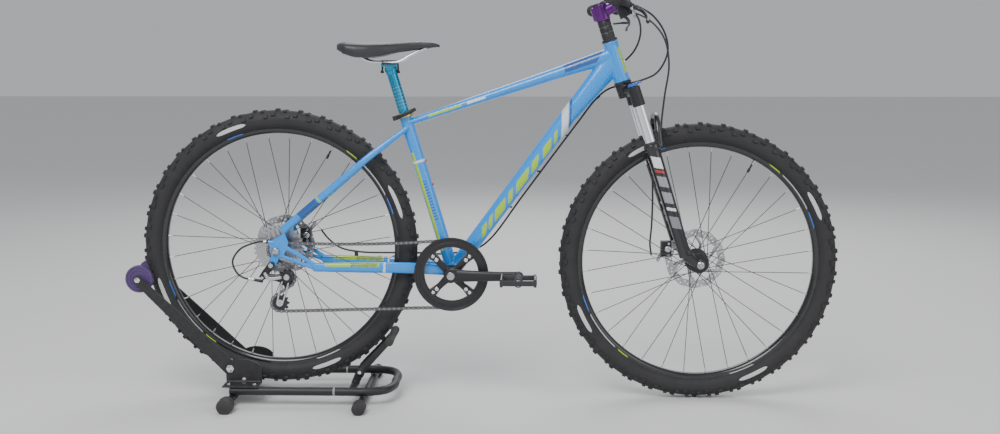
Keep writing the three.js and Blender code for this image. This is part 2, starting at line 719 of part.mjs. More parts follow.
// The saddle: a solid of its side outline and its plan outline, on two bent rails.
function buildSaddle(railClamp) {
  const tail = railClamp.x - SADDLE_SETBACK;
  const at = (share) => tail + share * SADDLE_LENGTH;
  const top = railClamp.z + 64;
  const side = [
    [at(0), top - 9],
    [at(0.06), top - 2],
    [at(0.3), top - 2],
    [at(0.62), top],
    [at(0.92), top],
    [at(0.985), top - 5],
    [at(1), top - 11],
    [at(0.94), top - 19],
    [at(0.8), top - 21],
    [at(0.65), top - 28],
    [at(0.55), top - 38],
    [at(0.46), top - 47],
    [at(0.36), top - 49],
    [at(0.26), top - 45],
    [at(0.16), top - 37],
    [at(0.1), top - 20],
  ];
  const halfWidths = [0.62, 0.9, 1, 0.96, 0.78, 0.56, 0.4, 0.3, 0.265, 0.25, 0.2];
  const edge = halfWidths.map((share, i) => {
    const width = (share * SADDLE_WIDTH) / 2;
    return [at(i / (halfWidths.length - 1)), Math.max(width, i > 7 ? (SADDLE_NOSE_WIDTH / 2) * 0.9 : 0)];
  });
  const plan = [...edge, ...edge.map(([x, y]) => [x, -y]).reverse()];
  const planShape = new THREE.Shape(plan.map(([x, y]) => new THREE.Vector2(x, y)));
  const planGeometry = new THREE.ExtrudeGeometry(planShape, { depth: 80, bevelEnabled: false });
  planGeometry.translate(0, 0, top - 70);
  const pad = solid(planGeometry).intersect(plate(side, -SADDLE_WIDTH, SADDLE_WIDTH));
  const railZ = railClamp.z + 2 + 4.5 + 3.5 + GAP;
  const rail = (y) =>
    bent(
      [
        point(at(0.29), y * 1.25, top - 40),
        point(at(0.33), y * 1.1, railZ),
        point(at(0.42), y, railZ),
        point(at(0.6), y, railZ + 1),
        point(at(0.72), y * 0.8, railZ + 18),
        point(at(0.86), y * 0.45, top - 14),
      ],
      3.5,
      { sides: 6, steps: 10 },
    );
  add("saddle", join(pad, rail(-22), rail(22)), saddleSkin);
}

// ---------------------------------------------------------------- fork and cockpit
const crownTop = -HEADSET_STACK - GAP;
const legTopUp = crownTop - 10;
const sleeveLowUp = -71;
const lowersTopUp = sleeveLowUp - FORK_TRAVEL - 12;
const axleUp = -AXLE_TO_HEAD;
const steererTopUp = HEAD_LENGTH + HEADSET_STACK + SPACER_HEIGHT + STEM_HEIGHT;

function buildFork() {
  const steerer = bar(
    onSteer(crownTop - 20),
    onSteer(steererTopUp - 4),
    STEERER_RADIUS,
    STEERER_RADIUS,
    { sides: 12 },
  );
  const crown = join(
    bar(onSteer(crownTop - 34), onSteer(crownTop), 21, 22, { sides: 12 }),
    steerBox(crownTop - 26, 9, 34, 2 * LEG_Y - 10, 26),
  );
  const legs = [-LEG_Y, LEG_Y].map((y) =>
    join(
      bar(
        onSteer(sleeveLowUp, LEG_FORWARD, y),
        onSteer(legTopUp, LEG_FORWARD, y),
        CROWN_LEG_RADIUS,
        CROWN_LEG_RADIUS - 1,
      ),
      bar(
        onSteer(lowersTopUp - 70, LEG_FORWARD, y),
        onSteer(sleeveLowUp + 5, LEG_FORWARD, y),
        STANCHION_RADIUS,
      ),
    ),
  );
  add("fork_upper", join(steerer, crown, ...legs), blackPaint);

  const leverAt = onSteer(legTopUp + GAP, LEG_FORWARD, -LEG_Y);
  const lever = join(
    bar(leverAt, leverAt.clone().addScaledVector(steerUp, 7), 12, 11),
    bar(
      leverAt.clone().addScaledVector(steerUp, 3.5),
      leverAt.clone().addScaledVector(steerUp, 4.5).addScaledVector(steerForward, 23),
      3.2,
      2.4,
    ),
  );
  add("lockout_lever", lever, anodisedRoyal);
  add("fork_lower", forkLower(), blackPaint);
}

// The sliding legs with their bores, the arch in front of them and the two dropouts.
function forkLower() {
  const half = (side) => {
    const y = side * LEG_Y;
    const leg = join(
      bar(
        onSteer(axleUp + 34, LEG_FORWARD, y),
        onSteer(lowersTopUp, LEG_FORWARD, y),
        LOWER_LEG_RADIUS - 3,
        LOWER_LEG_RADIUS,
      ),
      bar(
        onSteer(lowersTopUp - 14, LEG_FORWARD, y),
        onSteer(lowersTopUp, LEG_FORWARD, y),
        LOWER_LEG_RADIUS + 1,
      ),
    );
    const outboard = side * (FRONT_HUB_HALF + TAB_THICKNESS);
    const toe = bar(
      onSteer(axleUp + 44, LEG_FORWARD, y),
      onSteer(axleUp + 1, FORK_OFFSET - 5, side * (FRONT_HUB_HALF + 5)),
      LOWER_LEG_RADIUS - 4,
      9,
    );
    const tab = bar(
      frontAxle.clone().setY(side * (FRONT_HUB_HALF + GAP)),
      frontAxle.clone().setY(outboard),
      14,
    );
    return join(leg, toe, tab);
  };
  const archTop = lowersTopUp + 62;
  const arch = [
    [LEG_Y, lowersTopUp - 10, LEG_FORWARD + 20],
    [LEG_Y - 6, lowersTopUp + 26, LEG_FORWARD + 28],
    [LEG_Y - 26, archTop - 6, LEG_FORWARD + 35],
    [0, archTop, LEG_FORWARD + 38],
  ];
  const path = [...arch, ...arch.slice(0, -1).reverse().map(([y, up, forward]) => [-y, up, forward])];
  const brace = bent(path.map(([y, up, forward]) => onSteer(up, forward, y)), 8.5, { sides: 8, steps: 12 });
  const bores = [-LEG_Y, LEG_Y].map((y) =>
    bore(
      onSteer(lowersTopUp - 72 - FORK_TRAVEL, LEG_FORWARD, y),
      onSteer(lowersTopUp + 60, LEG_FORWARD, y),
      STANCHION_RADIUS,
      12,
    ),
  );
  const hubRoom = drum(frontAxle, 34, -FRONT_HUB_HALF - GAP, FRONT_HUB_HALF + GAP, 12);
  return cut(join(half(-1), half(1), brace), hubRoom, ...bores);
}

const stemLow = HEAD_LENGTH + HEADSET_STACK + SPACER_HEIGHT;
const barCentre = onSteer(stemLow + STEM_HEIGHT / 2 + 8, STEM_LENGTH);

function buildCockpit() {
  const spacersLow = onSteer(HEAD_LENGTH + HEADSET_STACK + GAP);
  const spacers = bar(spacersLow, onSteer(stemLow + 6), SPACER_RADIUS, SPACER_RADIUS, { sides: 12 });
  const body = join(
    bar(onSteer(stemLow), onSteer(stemLow + STEM_HEIGHT), 19, 19, { sides: 12 }),
    bar(onSteer(stemLow + STEM_HEIGHT / 2, 7), barCentre, 15.5, 14.5, { across: 1.05 }),
    drum(barCentre, BAR_CLAMP_RADIUS + 5.3, -22, 22, 14),
  );
  const holes = join(
    bore(onSteer(HEAD_LENGTH), onSteer(steererTopUp - 4 + GAP), STEERER_RADIUS),
    boreAcross(barCentre, BAR_CLAMP_RADIUS, -30, 30),
  );
  add("stem", cut(join(spacers, body), holes), anodisedPurple);

  const half = (sign) =>
    join(
      bar(barPoint(BAR_ELBOW, sign), barPoint(BAR_HALF, sign), BAR_RADIUS, BAR_RADIUS, { sides: 12 }),
      bar(barPoint(25, sign), barPoint(BAR_ELBOW, sign).add(point(0, 4 * sign, 0)), BAR_CLAMP_RADIUS, BAR_RADIUS, {
        sides: 12,
      }),
    );
  add("handlebar", join(drum(barCentre, BAR_CLAMP_RADIUS, -28, 28), half(-1), half(1)), blackPaint);

  for (const [name, sign] of [["right", -1], ["left", 1]]) {
    const outer = barPoint(BAR_HALF + 3, sign);
    const sleeve = bar(
      barPoint(BAR_HALF - GRIP_LENGTH, sign),
      outer,
      GRIP_RADIUS,
      GRIP_RADIUS,
      { sides: 14 },
    );
    const hole = bore(
      barPoint(BAR_HALF - GRIP_LENGTH - 10, sign),
      barPoint(BAR_HALF + GAP, sign),
      BAR_RADIUS,
      12,
    );
    add(name + "_grip", cut(sleeve, hole), rubber);
    controls(name, sign);
  }
}

// A point on the handlebar's centre line, `out` from the middle on one side.
function barPoint(out, sign) {
  const swept = Math.max(out - BAR_ELBOW, 0);
  return point(barCentre.x - swept * Math.tan(BAR_SWEEP), sign * out, barCentre.z - swept * 0.015);
}

// The brake lever's bracket and blade on one side, and on the right the shifter beside it.
function controls(name, sign) {
  const at = BAR_HALF - GRIP_LENGTH - 22;
  const hub = barPoint(at, sign);
  const ahead = hub.clone().add(point(30, 0, -14));
  const clamp = bar(barPoint(at - 8, sign), barPoint(at + 8, sign), BAR_RADIUS + 4.5);
  const hole = bore(barPoint(at - 60, sign), barPoint(at + 20, sign), BAR_RADIUS, 12);
  let body = join(clamp, leverBracket(hub, ahead, sign));
  if (sign < 0) {
    const pod = barPoint(at - 30, sign);
    const podLow = pod.clone().add(point(20, 0, -40));
    body = join(
      body,
      bar(barPoint(at - 38, sign), barPoint(at - 22, sign), BAR_RADIUS + 4),
      bar(pod.clone().add(point(8, 0, -8)), podLow, 12, 18, { wide: 1.25 }),
      bar(barPoint(at - 30, sign), barPoint(at - 4, sign), BAR_RADIUS + 3.5),
    );
    const paddle = podLow.clone().add(point(-4, 0, -13 - GAP));
    const under = (x, y, z) => paddle.clone().add(point(x, y, z));
    add(
      "shift_lever",
      join(bar(paddle, under(0, 0, -5), 9), bar(under(0, 0, -2.5), under(-26, 10, -4), 4, 5)),
      blackPlastic,
    );
  }
  add(name + "_controls", cut(body, hole), blackPlastic);

  const pivot = ahead.clone().add(point(13.5, 0, -6));
  const blade = join(
    bar(pivot.clone().add(point(0, 0, 5)), pivot.clone().add(point(0, 0, -5)), 6),
    bent(
      [
        pivot,
        pivot.clone().add(point(16, sign * 14, -10)),
        pivot.clone().add(point(24, sign * 48, -24)),
        pivot.clone().add(point(20, sign * 84, -34)),
        pivot.clone().add(point(21, sign * 96, -38)),
      ],
      4.2,
      { sides: 6, steps: 9 },
    ),
  );
  add(name + "_brake_lever", blade, blackPaint);
}

// Where the cable's housing enters the lever's barrel.
function barrelEnd(hub, sign) {
  return hub.clone().add(point(34, -sign * 34, -10));
}

// The lever's bracket, with the barrel that the cable's housing enters.
function leverBracket(hub, ahead, sign) {
  return join(
    bar(hub.clone().add(point(8, 0, -2)), ahead, 9, 7, { wide: 1.3 }),
    bar(ahead, barrelEnd(hub, sign), 6, 4.5),
  );
}

// ---------------------------------------------------------------- drive
const SPINDLE_RADIUS = 11;
const CHAIN_HALF = 4.1;
const RAIL_INNER = 1.9;
const RAIL_OUTER = 3.5;
const CHAIN_SAG = 8;
const CHAIN_TURN_BACK = 74; // ahead of the rear axle, past the largest cog
const CHAIN_TURN_FRONT = 106; // behind the bottom bracket, past the chainring
const guidePulley = point(rearAxle.x + 24, COG_Y, rearAxle.z - 74);
const tensionPulley = point(rearAxle.x + 6, COG_Y, rearAxle.z - 138);

// The radius of the circle through the roller centres on a wheel with this many teeth.
function pitchRadius(teeth) {
  return CHAIN_PITCH / (2 * Math.sin(Math.PI / teeth));
}

// A toothed disc about an axis along Y.
function sprocket(centre, teeth, yMiddle, holeRadius) {
  const radius = pitchRadius(teeth);
  const outline = [];
  for (let i = 0; i < teeth; i++) {
    for (const [share, reach] of [[0, 2.6], [0.5, -2.9]]) {
      const angle = ((i + share) / teeth) * 2 * Math.PI;
      outline.push([centre.x + (radius + reach) * Math.cos(angle), centre.z + (radius + reach) * Math.sin(angle)]);
    }
  }
  const hole = circlePoints(holeRadius, holeRadius > 20 ? 20 : 8).map((p) => [centre.x + p.x, centre.z + p.y]);
  return plate(outline, yMiddle - TOOTH_HALF, yMiddle + TOOTH_HALF, holeRadius ? [hole.reverse()] : []);
}

// The chain's loop in side view, `outset` outside its centre line.
function chainLoop(outset) {
  const wheels = [
    { at: bottomBracket, radius: pitchRadius(RING_TEETH), turn: 1, sag: CHAIN_SAG, bends: true },
    { at: rearAxle, radius: pitchRadius(COG_TEETH), turn: 1 },
    { at: guidePulley, radius: pitchRadius(PULLEY_TEETH), turn: -1 },
    { at: tensionPulley, radius: pitchRadius(PULLEY_TEETH), turn: 1, sag: 0, bends: true },
  ].map((wheel) => ({ ...wheel, radius: wheel.radius + wheel.turn * outset }));
  // The straight run that leaves wheel a and meets wheel b.
  const tangent = (a, b) => {
    const dx = b.at.x - a.at.x;
    const dz = b.at.z - a.at.z;
    const reach = a.turn * a.radius - b.turn * b.radius;
    const heading = Math.atan2(dz, dx) + Math.asin(reach / Math.hypot(dx, dz));
    const from = heading - Math.PI / 2;
    const spot = (wheel) => [
      wheel.at.x + wheel.turn * wheel.radius * Math.cos(from),
      wheel.at.z + wheel.turn * wheel.radius * Math.sin(from),
    ];
    return { start: spot(a), end: spot(b) };
  };
  const runs = wheels.map((wheel, i) => tangent(wheel, wheels[(i + 1) % wheels.length]));
  const outline = [];
  wheels.forEach((wheel, i) => {
    const arrive = runs[(i + wheels.length - 1) % wheels.length].end;
    const leave = runs[i].start;
    const first = Math.atan2(arrive[1] - wheel.at.z, arrive[0] - wheel.at.x);
    let last = Math.atan2(leave[1] - wheel.at.z, leave[0] - wheel.at.x);
    while ((last - first) * wheel.turn < 0) last += wheel.turn * 2 * Math.PI;
    const steps = Math.max(3, Math.round(Math.abs(last - first) / 0.45));
    for (let k = 0; k <= steps; k++) {
      const angle = lerp(first, last, k / steps);
      outline.push([wheel.at.x + wheel.radius * Math.cos(angle), wheel.at.z + wheel.radius * Math.sin(angle)]);
    }
    const { start, end } = runs[i];
    for (const t of wheel.bends ? sagShares(start[0], end[0]) : []) {
      outline.push([lerp(start[0], end[0], t), lerp(start[1], end[1], t) - 4 * wheel.sag * t * (1 - t)]);
    }
  });
  return { outline, runs };
}

// Where a long run needs corners: at both ends of its slant across the bicycle, and between.
function sagShares(startX, endX) {
  const share = (x) => (x - startX) / (endX - startX);
  const back = share(rearAxle.x + CHAIN_TURN_BACK);
  const front = share(bottomBracket.x - CHAIN_TURN_FRONT);
  const low = Math.min(back, front);
  const high = Math.max(back, front);
  return [0, 1 / 3, 2 / 3, 1].map((t) => lerp(low, high, t));
}

// How far across the bicycle the chain runs at a given X.
function chainY(x) {
  const slant = BB_FORWARD - CHAIN_TURN_FRONT - CHAIN_TURN_BACK;
  const share = THREE.MathUtils.clamp((x - rearAxle.x - CHAIN_TURN_BACK) / slant, 0, 1);
  return lerp(COG_Y, RING_Y, share);
}

// A closed band between two matching outlines, slanted across the bicycle as the chain is.
function chainRail(outer, inner, yLow, yHigh) {
  const corners = outer.flatMap(([x, z], i) => {
    const [x2, z2] = inner[i];
    const y = chainY(x);
    const y2 = chainY(x2);
    return [x, y + yLow, z, x, y + yHigh, z, x2, y2 + yHigh, z2, x2, y2 + yLow, z2];
  });
  const index = [];
  for (let i = 0; i < outer.length; i++) {
    const next = (i + 1) % outer.length;
    for (let k = 0; k < 4; k++) {
      const side = (k + 1) % 4;
      index.push(4 * i + k, 4 * i + side, 4 * next + k, 4 * i + side, 4 * next + side, 4 * next + k);
    }
  }
  const geometry = new THREE.BufferGeometry();
  geometry.setAttribute("position", new THREE.Float32BufferAttribute(corners, 3));
  geometry.setIndex(index);
  return facingOut(geometry);
}

// The chain: two side rails joined by pins on the long runs, where no teeth reach.
function chain() {
  const outer = chainLoop(CHAIN_HALF).outline;
  const inner = chainLoop(-CHAIN_HALF).outline;
  const centre = chainLoop(0).runs;
  const pins = [];
  for (const [run, sag] of [[centre[0], CHAIN_SAG], [centre[3], 0]]) {
    for (let t = 0.2; t < 0.8; t += 0.145) {
      const at = point(
        lerp(run.start[0], run.end[0], t),
        0,
        lerp(run.start[1], run.end[1], t) - 4 * sag * t * (1 - t),
      );
      pins.push(drum(at, 2.2, chainY(at.x) - RAIL_OUTER + 0.3, chainY(at.x) + RAIL_OUTER - 0.3, 5));
    }
  }
  const rails = [
    chainRail(outer, inner, -RAIL_OUTER, -RAIL_INNER),
    chainRail(outer, inner, RAIL_INNER, RAIL_OUTER),
  ];
  return join(...rails, ...pins);
}

const CRANK_ARM_Y = -78;
const SPIDER_Y = RING_Y - TOOTH_HALF - GAP;
const BOLT_CIRCLE = 52;

function pedalAxle(sign) {
  return bottomBracket.clone().add(point(-sign * CRANK_LENGTH, 0, 0));
}

function buildDrive() {
  const hub = bottomBracket;
  const spider = Array.from({ length: 4 }, (_, i) => {
    const angle = (i * Math.PI) / 2 + Math.PI / 4;
    const tip = [hub.x + (BOLT_CIRCLE + 6) * Math.cos(angle), hub.z + (BOLT_CIRCLE + 6) * Math.sin(angle)];
    return strut([hub.x, hub.z], tip, 26, SPIDER_Y - 7, SPIDER_Y, 15);
  });
  const spindle = drum(hub, SPINDLE_RADIUS - 2, CRANK_ARM_Y + 4, -CRANK_ARM_Y - 12);
  const rightEnd = pedalAxle(-1);
  const arm = bar(
    point(hub.x, CRANK_ARM_Y + 4, hub.z),
    point(rightEnd.x, CRANK_ARM_Y - 3, rightEnd.z),
    17,
    12.5,
    { wide: 0.5, sides: 12 },
  );
  const boss = drum(hub, 19, CRANK_ARM_Y - 3, SPIDER_Y);
  const eye = drum(rightEnd, 13, CRANK_ARM_Y - 10, CRANK_ARM_Y + 3);
  const pedalBore = (end, y) => drum(end, 5, y - 20, y + 20, 12);
  add(
    "crankset",
    cut(join(spindle, arm, boss, eye, ...spider), pedalBore(rightEnd, CRANK_ARM_Y)),
    blackPaint,
  );

  const guardLow = RING_Y - RAIL_OUTER - 6;
  const circle = (radius, sides) => circlePoints(radius, sides).map((p) => [hub.x + p.x, hub.z + p.y]);
  const guard = plate(circle(GUARD_RADIUS, 26), guardLow, guardLow + 4, [circle(72, 20).reverse()]);
  const tabs = Array.from({ length: 4 }, (_, i) => {
    const angle = (i * Math.PI) / 2 + Math.PI / 4;
    const inner = [
      hub.x + (BOLT_CIRCLE + 6 + GAP) * Math.cos(angle),
      hub.z + (BOLT_CIRCLE + 6 + GAP) * Math.sin(angle),
    ];
    const outer = [hub.x + 76 * Math.cos(angle), hub.z + 76 * Math.sin(angle)];
    return strut(inner, outer, 14, guardLow, RING_Y + TOOTH_HALF, 18);
  });
  const boltPads = Array.from({ length: 4 }, (_, i) => {
    const angle = (i * Math.PI) / 2 + Math.PI / 4;
    const inner = [hub.x + (BOLT_CIRCLE - 8) * Math.cos(angle), hub.z + (BOLT_CIRCLE - 8) * Math.sin(angle)];
    const outer = [hub.x + 74 * Math.cos(angle), hub.z + 74 * Math.sin(angle)];
    return strut(inner, outer, 14, RING_Y - TOOTH_HALF, RING_Y + TOOTH_HALF, 18);
  });
  const teeth = sprocket(hub, RING_TEETH, RING_Y, 70);
  add("chainring", join(teeth, guard, ...tabs, ...boltPads), blackPaint);

  const leftEnd = pedalAxle(1);
  const leftArm = join(
    bar(
      point(hub.x, -CRANK_ARM_Y - 4, hub.z),
      point(leftEnd.x, -CRANK_ARM_Y + 3, leftEnd.z),
      17,
      12.5,
      { wide: 0.5 },
    ),
    drum(hub, 18, BB_SHELL_HALF + 8, -CRANK_ARM_Y + 3),
    drum(leftEnd, 13, -CRANK_ARM_Y - 3, -CRANK_ARM_Y + 10),
  );
  const spindleBore = boreAcross(hub, SPINDLE_RADIUS - 2, 0, -CRANK_ARM_Y - 12 + GAP, 14);
  add("left_crank", cut(leftArm, spindleBore, pedalBore(leftEnd, -CRANK_ARM_Y)), blackPaint);
  add("right_pedal", pedal(rightEnd, -1), blackPlastic);
  add("left_pedal", pedal(leftEnd, 1), blackPlastic);

  add("cassette", cassette(), steel);
  add("chain", chain(), steel);
  buildDerailleur();
}

// A platform pedal: an axle, a centre barrel, and a cage with two toothed side rails.
function pedal(end, sign) {
  const start = -CRANK_ARM_Y + 12;
  const y = (out) => sign * out;
  const middle = start + 4 + PEDAL_WIDTH / 2;
  const across = (from, to, radius) => bar(end.clone().setY(y(from)), end.clone().setY(y(to)), radius);
  const spindle = across(start - 14, start + PEDAL_WIDTH - 6, 4.6);
  const barrel = across(start + 2, start + PEDAL_WIDTH - 4, 12);
  const rails = [-1, 1].map((way) =>
    box(point(end.x + way * (PEDAL_LENGTH / 2 - 5), y(middle), end.z), 9, PEDAL_WIDTH, 22),
  );
  const bridges = [-1, 1].map((way) =>
    box(point(end.x, y(middle + way * (PEDAL_WIDTH / 2 - 5)), end.z), PEDAL_LENGTH - 4, 9, 14),
  );
  return join(spindle, barrel, ...rails, ...bridges);
}

// The cassette: the smallest cog has teeth for the chain, the rest are stepped discs.
function cassette() {
  const stack = [];
  for (let i = 1; i < COG_COUNT; i++) {
    const teeth = lerp(COG_TEETH + 2, LARGEST_COG_TEETH, (i - 1) / (COG_COUNT - 2));
    const y = COG_Y + i * COG_STEP;
    stack.push(drum(rearAxle, pitchRadius(teeth) + 2, y - TOOTH_HALF, y + TOOTH_HALF, 12));
  }
  const bodyEnd = CASSETTE_INNER_Y + 2;
  const body = drum(rearAxle, 16, COG_Y - 2.2, bodyEnd, 10);
  const whole = join(sprocket(rearAxle, COG_TEETH, COG_Y, 0), body, ...stack);
  return cut(whole, drum(rearAxle, AXLE_RADIUS + 1, COG_Y - 5, bodyEnd + 2, 10));
}

// The rear derailleur: a body fixed at the hanger, and a sprung cage that holds two pulleys.
function buildDerailleur() {
  const hanger = point(rearAxle.x - 11, 0, rearAxle.z - 36);
  const knuckle = point(guidePulley.x + 6, 0, guidePulley.z + 8);
  const outside = -STAY_DROPOUT_Y - DROPOUT_THICKNESS / 2 - GAP;
  const body = join(
    drum(hanger, 9, outside - 12, outside),
    strut([hanger.x, hanger.z], [hanger.x - 26, hanger.z - 34], 17, outside - 12, outside, 16),
    strut([hanger.x - 24, hanger.z - 26], [knuckle.x, knuckle.z], 15, outside - 14, outside - 2, 24),
    drum(knuckle, 16, outside - 14, COG_Y - 8.4),
    bar(
      point(hanger.x - 22, outside - 7, hanger.z - 42),
      point(hanger.x - 50, outside - 7, hanger.z - 37),
      4.5,
      3.5,
    ),
  );
  add("rear_derailleur", body, blackPaint);

  const cagePlate = (yLow, yHigh) => {
    const link = strut(
      [guidePulley.x + 3, guidePulley.z + 4],
      [tensionPulley.x, tensionPulley.z],
      17,
      yLow,
      yHigh,
      30,
    );
    const ends = [drum(knuckle, 11, yLow, yHigh, 10), drum(tensionPulley, 15, yLow, yHigh, 10)];
    return join(link, ...ends);
  };
  const inner = cagePlate(COG_Y + RAIL_OUTER + 0.6, COG_Y + RAIL_OUTER + 2.4);
  const outer = cagePlate(COG_Y - RAIL_OUTER - 2.4, COG_Y - RAIL_OUTER - 0.6);
  const bolts = [guidePulley, tensionPulley].map((at) => drum(at, 3, COG_Y - RAIL_OUTER - 2, COG_Y + RAIL_OUTER + 2, 8));
  const pivot = drum(knuckle, 6, COG_Y - 8.4 + GAP, COG_Y - RAIL_OUTER - 0.6, 8);
  add("derailleur_cage", join(inner, outer, ...bolts, pivot), blackPaint);
  for (const [name, at] of [["guide_pulley", guidePulley], ["tension_pulley", tensionPulley]]) {
    add(name, sprocket(at, PULLEY_TEETH, COG_Y, 3 + GAP), blackPlastic);
  }
}

// ---------------------------------------------------------------- brakes, levers and cables
const CALIPER_WIDTH = 30;
const CALIPER_CLEARANCE = 1; // behind the fork leg
const rearCaliperAt = point(rearAxle.x + 56, REAR_ROTOR_Y, rearAxle.z + 26);
const frontCaliperBack = LEG_FORWARD - LOWER_LEG_RADIUS - CALIPER_WIDTH / 2 - CALIPER_CLEARANCE;
const frontCaliperAt = onSteer(axleUp + 50, frontCaliperBack, FRONT_ROTOR_Y);
const rearArmTip = armTip(rearCaliperAt, 36, 0.95);
const frontArmTip = armTip(frontCaliperAt, 40, -2.05);

// The centre of the arm's pivot, on the caliper's outer face.
function armPivot(at) {
  return at.clone().setY(at.y + CALIPER_WIDTH / 2 + GAP);
}

// Where the arm, `reach` long, holds its cable.
function armTip(at, reach, angle) {
  return armPivot(at).add(point(reach * Math.cos(angle), 6, reach * Math.sin(angle)));
}

function buildBrakes() {
  caliper("rear", rearCaliperAt, rearArmTip, rearAxle);
  caliper("front", frontCaliperAt, frontArmTip, frontAxle);
}

// A disc caliper that straddles its rotor, with the arm that the cable pulls.
function caliper(name, at, tip, axle) {
  const slotHalf = ROTOR_THICKNESS / 2 + 0.8;
  const block = box(at, 30, CALIPER_WIDTH, 42);
  const slot = drum(axle, ROTOR_RADIUS + 2, at.y - slotHalf, at.y + slotHalf, 30);
  add(name + "_caliper", cut(block, slot), blackPaint);
  const pivot = armPivot(at);
  const arm = join(bar(pivot, pivot.clone().setY(pivot.y + 7), 9), bar(pivot.clone().setY(tip.y), tip, 5, 4));
  add(name + "_caliper_arm", arm, steel);
}

function buildAxleLevers() {
  for (const [name, axle, face, rise] of [
    ["rear", rearAxle, STAY_DROPOUT_Y + DROPOUT_THICKNESS / 2 + GAP, 8],
    ["front", frontAxle, FRONT_HUB_HALF + TAB_THICKNESS + 9, -26],
  ]) {
    const along = (back, out, share) => point(axle.x - back, face + out, axle.z + rise * share);
    const cam = bar(
      point(axle.x, face + CAM_RADIUS, axle.z - 9),
      point(axle.x, face + CAM_RADIUS, axle.z + 9),
      CAM_RADIUS,
    );
    const route = [along(0, CAM_RADIUS, 0), along(20, 15, 0.4), along(42, 15, 0.8), along(58, 11, 1.1)];
    add(name + "_axle_lever", join(cam, bent(route, 3.6, { sides: 6, steps: 7 })), steel);
  }
}

// ---------------------------------------------------------------- cables
// A cable's housing along points chosen by hand, in millimetres from the rear axle and the floor.
function cable(name, route, steps) {
  add(name, bent(route.map(([x, y, z]) => point(x, y, z)), CABLE_RADIUS, { sides: 8, steps }), blackPlastic);
}

function buildCables() {
  // From the shifter, across the front of the head tube, to the port on its left side.
  const shiftFront = [
    [892, -148, 1004],
    [914, -124, 1001],
    [931, -78, 978],
    [935, -26, 944],
    [924, 12, 912],
    [905, 31.5, 890],
    [896.5, 28.4, 884],
  ];
  // From the port at the tip of the dropout, round behind it, to the derailleur's barrel.
  const shiftRear = [
    [-22.8, -70.5, 424.6],
    [-38, -70.6, 425],
    [-60, -71, 420],
    [-92, -73, 405],
    [-112, -75, 374],
    [-101, -78, 344],
    [-82, -80, 331],
    [-61.8, -80.3, 327.2],
  ];
  // From the right-hand lever, round the lower headset, along the down tube and the left chainstay.
  const rearBrake = [
    [898.4, -163.4, 1023.9],
    [902, -140, 1026],
    [960, -90, 1000],
    [997, -50, 955],
    [1008, -10, 905],
    [985, 14, 858],
    [945, 26, 838],
    [900, 29, 827],
    [861, 22, 816],
    [829, 12, 791],
    [781, 8, 729],
    [640, 8, 539],
    [556, 8, 425],
    [520, 18, 396],
    [484, 26, 386],
    [430, 30, 378],
    [360, 45, 378],
    [289, 53, 377],
    [200, 59, 378],
    [146, 66, 388],
    [112, 72, 412],
    [82, 73.3, 450],
  ];
  // From the left-hand lever, ahead of the arch, and down behind the left fork leg.
  const frontBrake = [
    [898.4, 163.4, 1023.9],
    [902, 142, 1026],
    [968, 112, 1000],
    [1010, 88, 950],
    [1023, 72, 880],
    [1012, 60, 800],
    [1004, 50, 735],
    [1001, 43, 690],
    [985, 41.5, 635],
    [982, 41.5, 580],
    [984, 52, 520],
    [984, 66, 450],
    [981, 70, 400],
    [984, 65, 372],
    [995, 61.5, 362],
  ];
  cable("shift_cable_front", shiftFront, 14);
  cable("shift_cable_rear", shiftRear, 14);
  cable("rear_brake_cable", rearBrake, 48);
  cable("front_brake_cable", frontBrake, 30);
}

// ---------------------------------------------------------------- stand
const FLANGE_THICKNESS = 3;
const baseTop = BASE_HEIGHT + BASE_TUBE_RADIUS;
const armPivotAt = point(ARM_PIVOT_X, 0, ARM_PIVOT_Z);
const rollerAt = onTyre(Math.PI + ROLLER_ANGLE, ROLLER_CORE_RADIUS);
const pegAt = onTyre(-PEG_ANGLE, PEG_RADIUS);

// The centre of a roller of this radius that touches the rear tyre at an angle from ahead.
function onTyre(angle, radius) {
  const reach = TYRE_RADIUS + radius + GAP;
  return point(rearAxle.x + reach * Math.cos(angle), 0, rearAxle.z + reach * Math.sin(angle));
}

// Half of the base's line: a straight tube that bends round to the middle of the front.
function baseLine(side) {
  const y = side * BASE_HALF_WIDTH;
  return [
    point(BASE_BACK, y, BASE_HEIGHT),
    point(BASE_FRONT - 2 * BASE_BEND, y, BASE_HEIGHT),
    point(BASE_FRONT - BASE_BEND, y, BASE_HEIGHT),
    point(BASE_FRONT - BASE_BEND * 0.3, y * (1 - (0.3 * BASE_BEND) / BASE_HALF_WIDTH), BASE_HEIGHT),
    point(BASE_FRONT, side * (BASE_HALF_WIDTH - BASE_BEND), BASE_HEIGHT),
  ];
}

function baseTube(extra = 0, sides = 10, steps = 26) {
  const front = point(BASE_FRONT, 0, BASE_HEIGHT);
  return bent([...baseLine(-1), front, ...baseLine(1).reverse()], BASE_TUBE_RADIUS + extra, { sides, steps });
}

// A cross bar under the base with a rubber foot at each end, flat where it meets the floor.
function footBar(x, footRadius) {
  const at = (y) => point(x, y, footRadius - FOOT_FLAT);
  const feet = [-1, 1].map((side) =>
    bar(
      at(side * FEET_HALF_SPAN),
      at(side * (FEET_HALF_SPAN - FOOT_LENGTH)),
      footRadius,
      footRadius + 2,
      { sides: 12 },
    ),
  );
  const tube = bar(at(-FEET_HALF_SPAN + 6), at(FEET_HALF_SPAN - 6), BASE_TUBE_RADIUS - 1);
  const floor = box(point(x, 0, -25), 100, 3 * FEET_HALF_SPAN, 50);
  return cut(join(tube, ...feet), baseTube(GAP), floor);
}

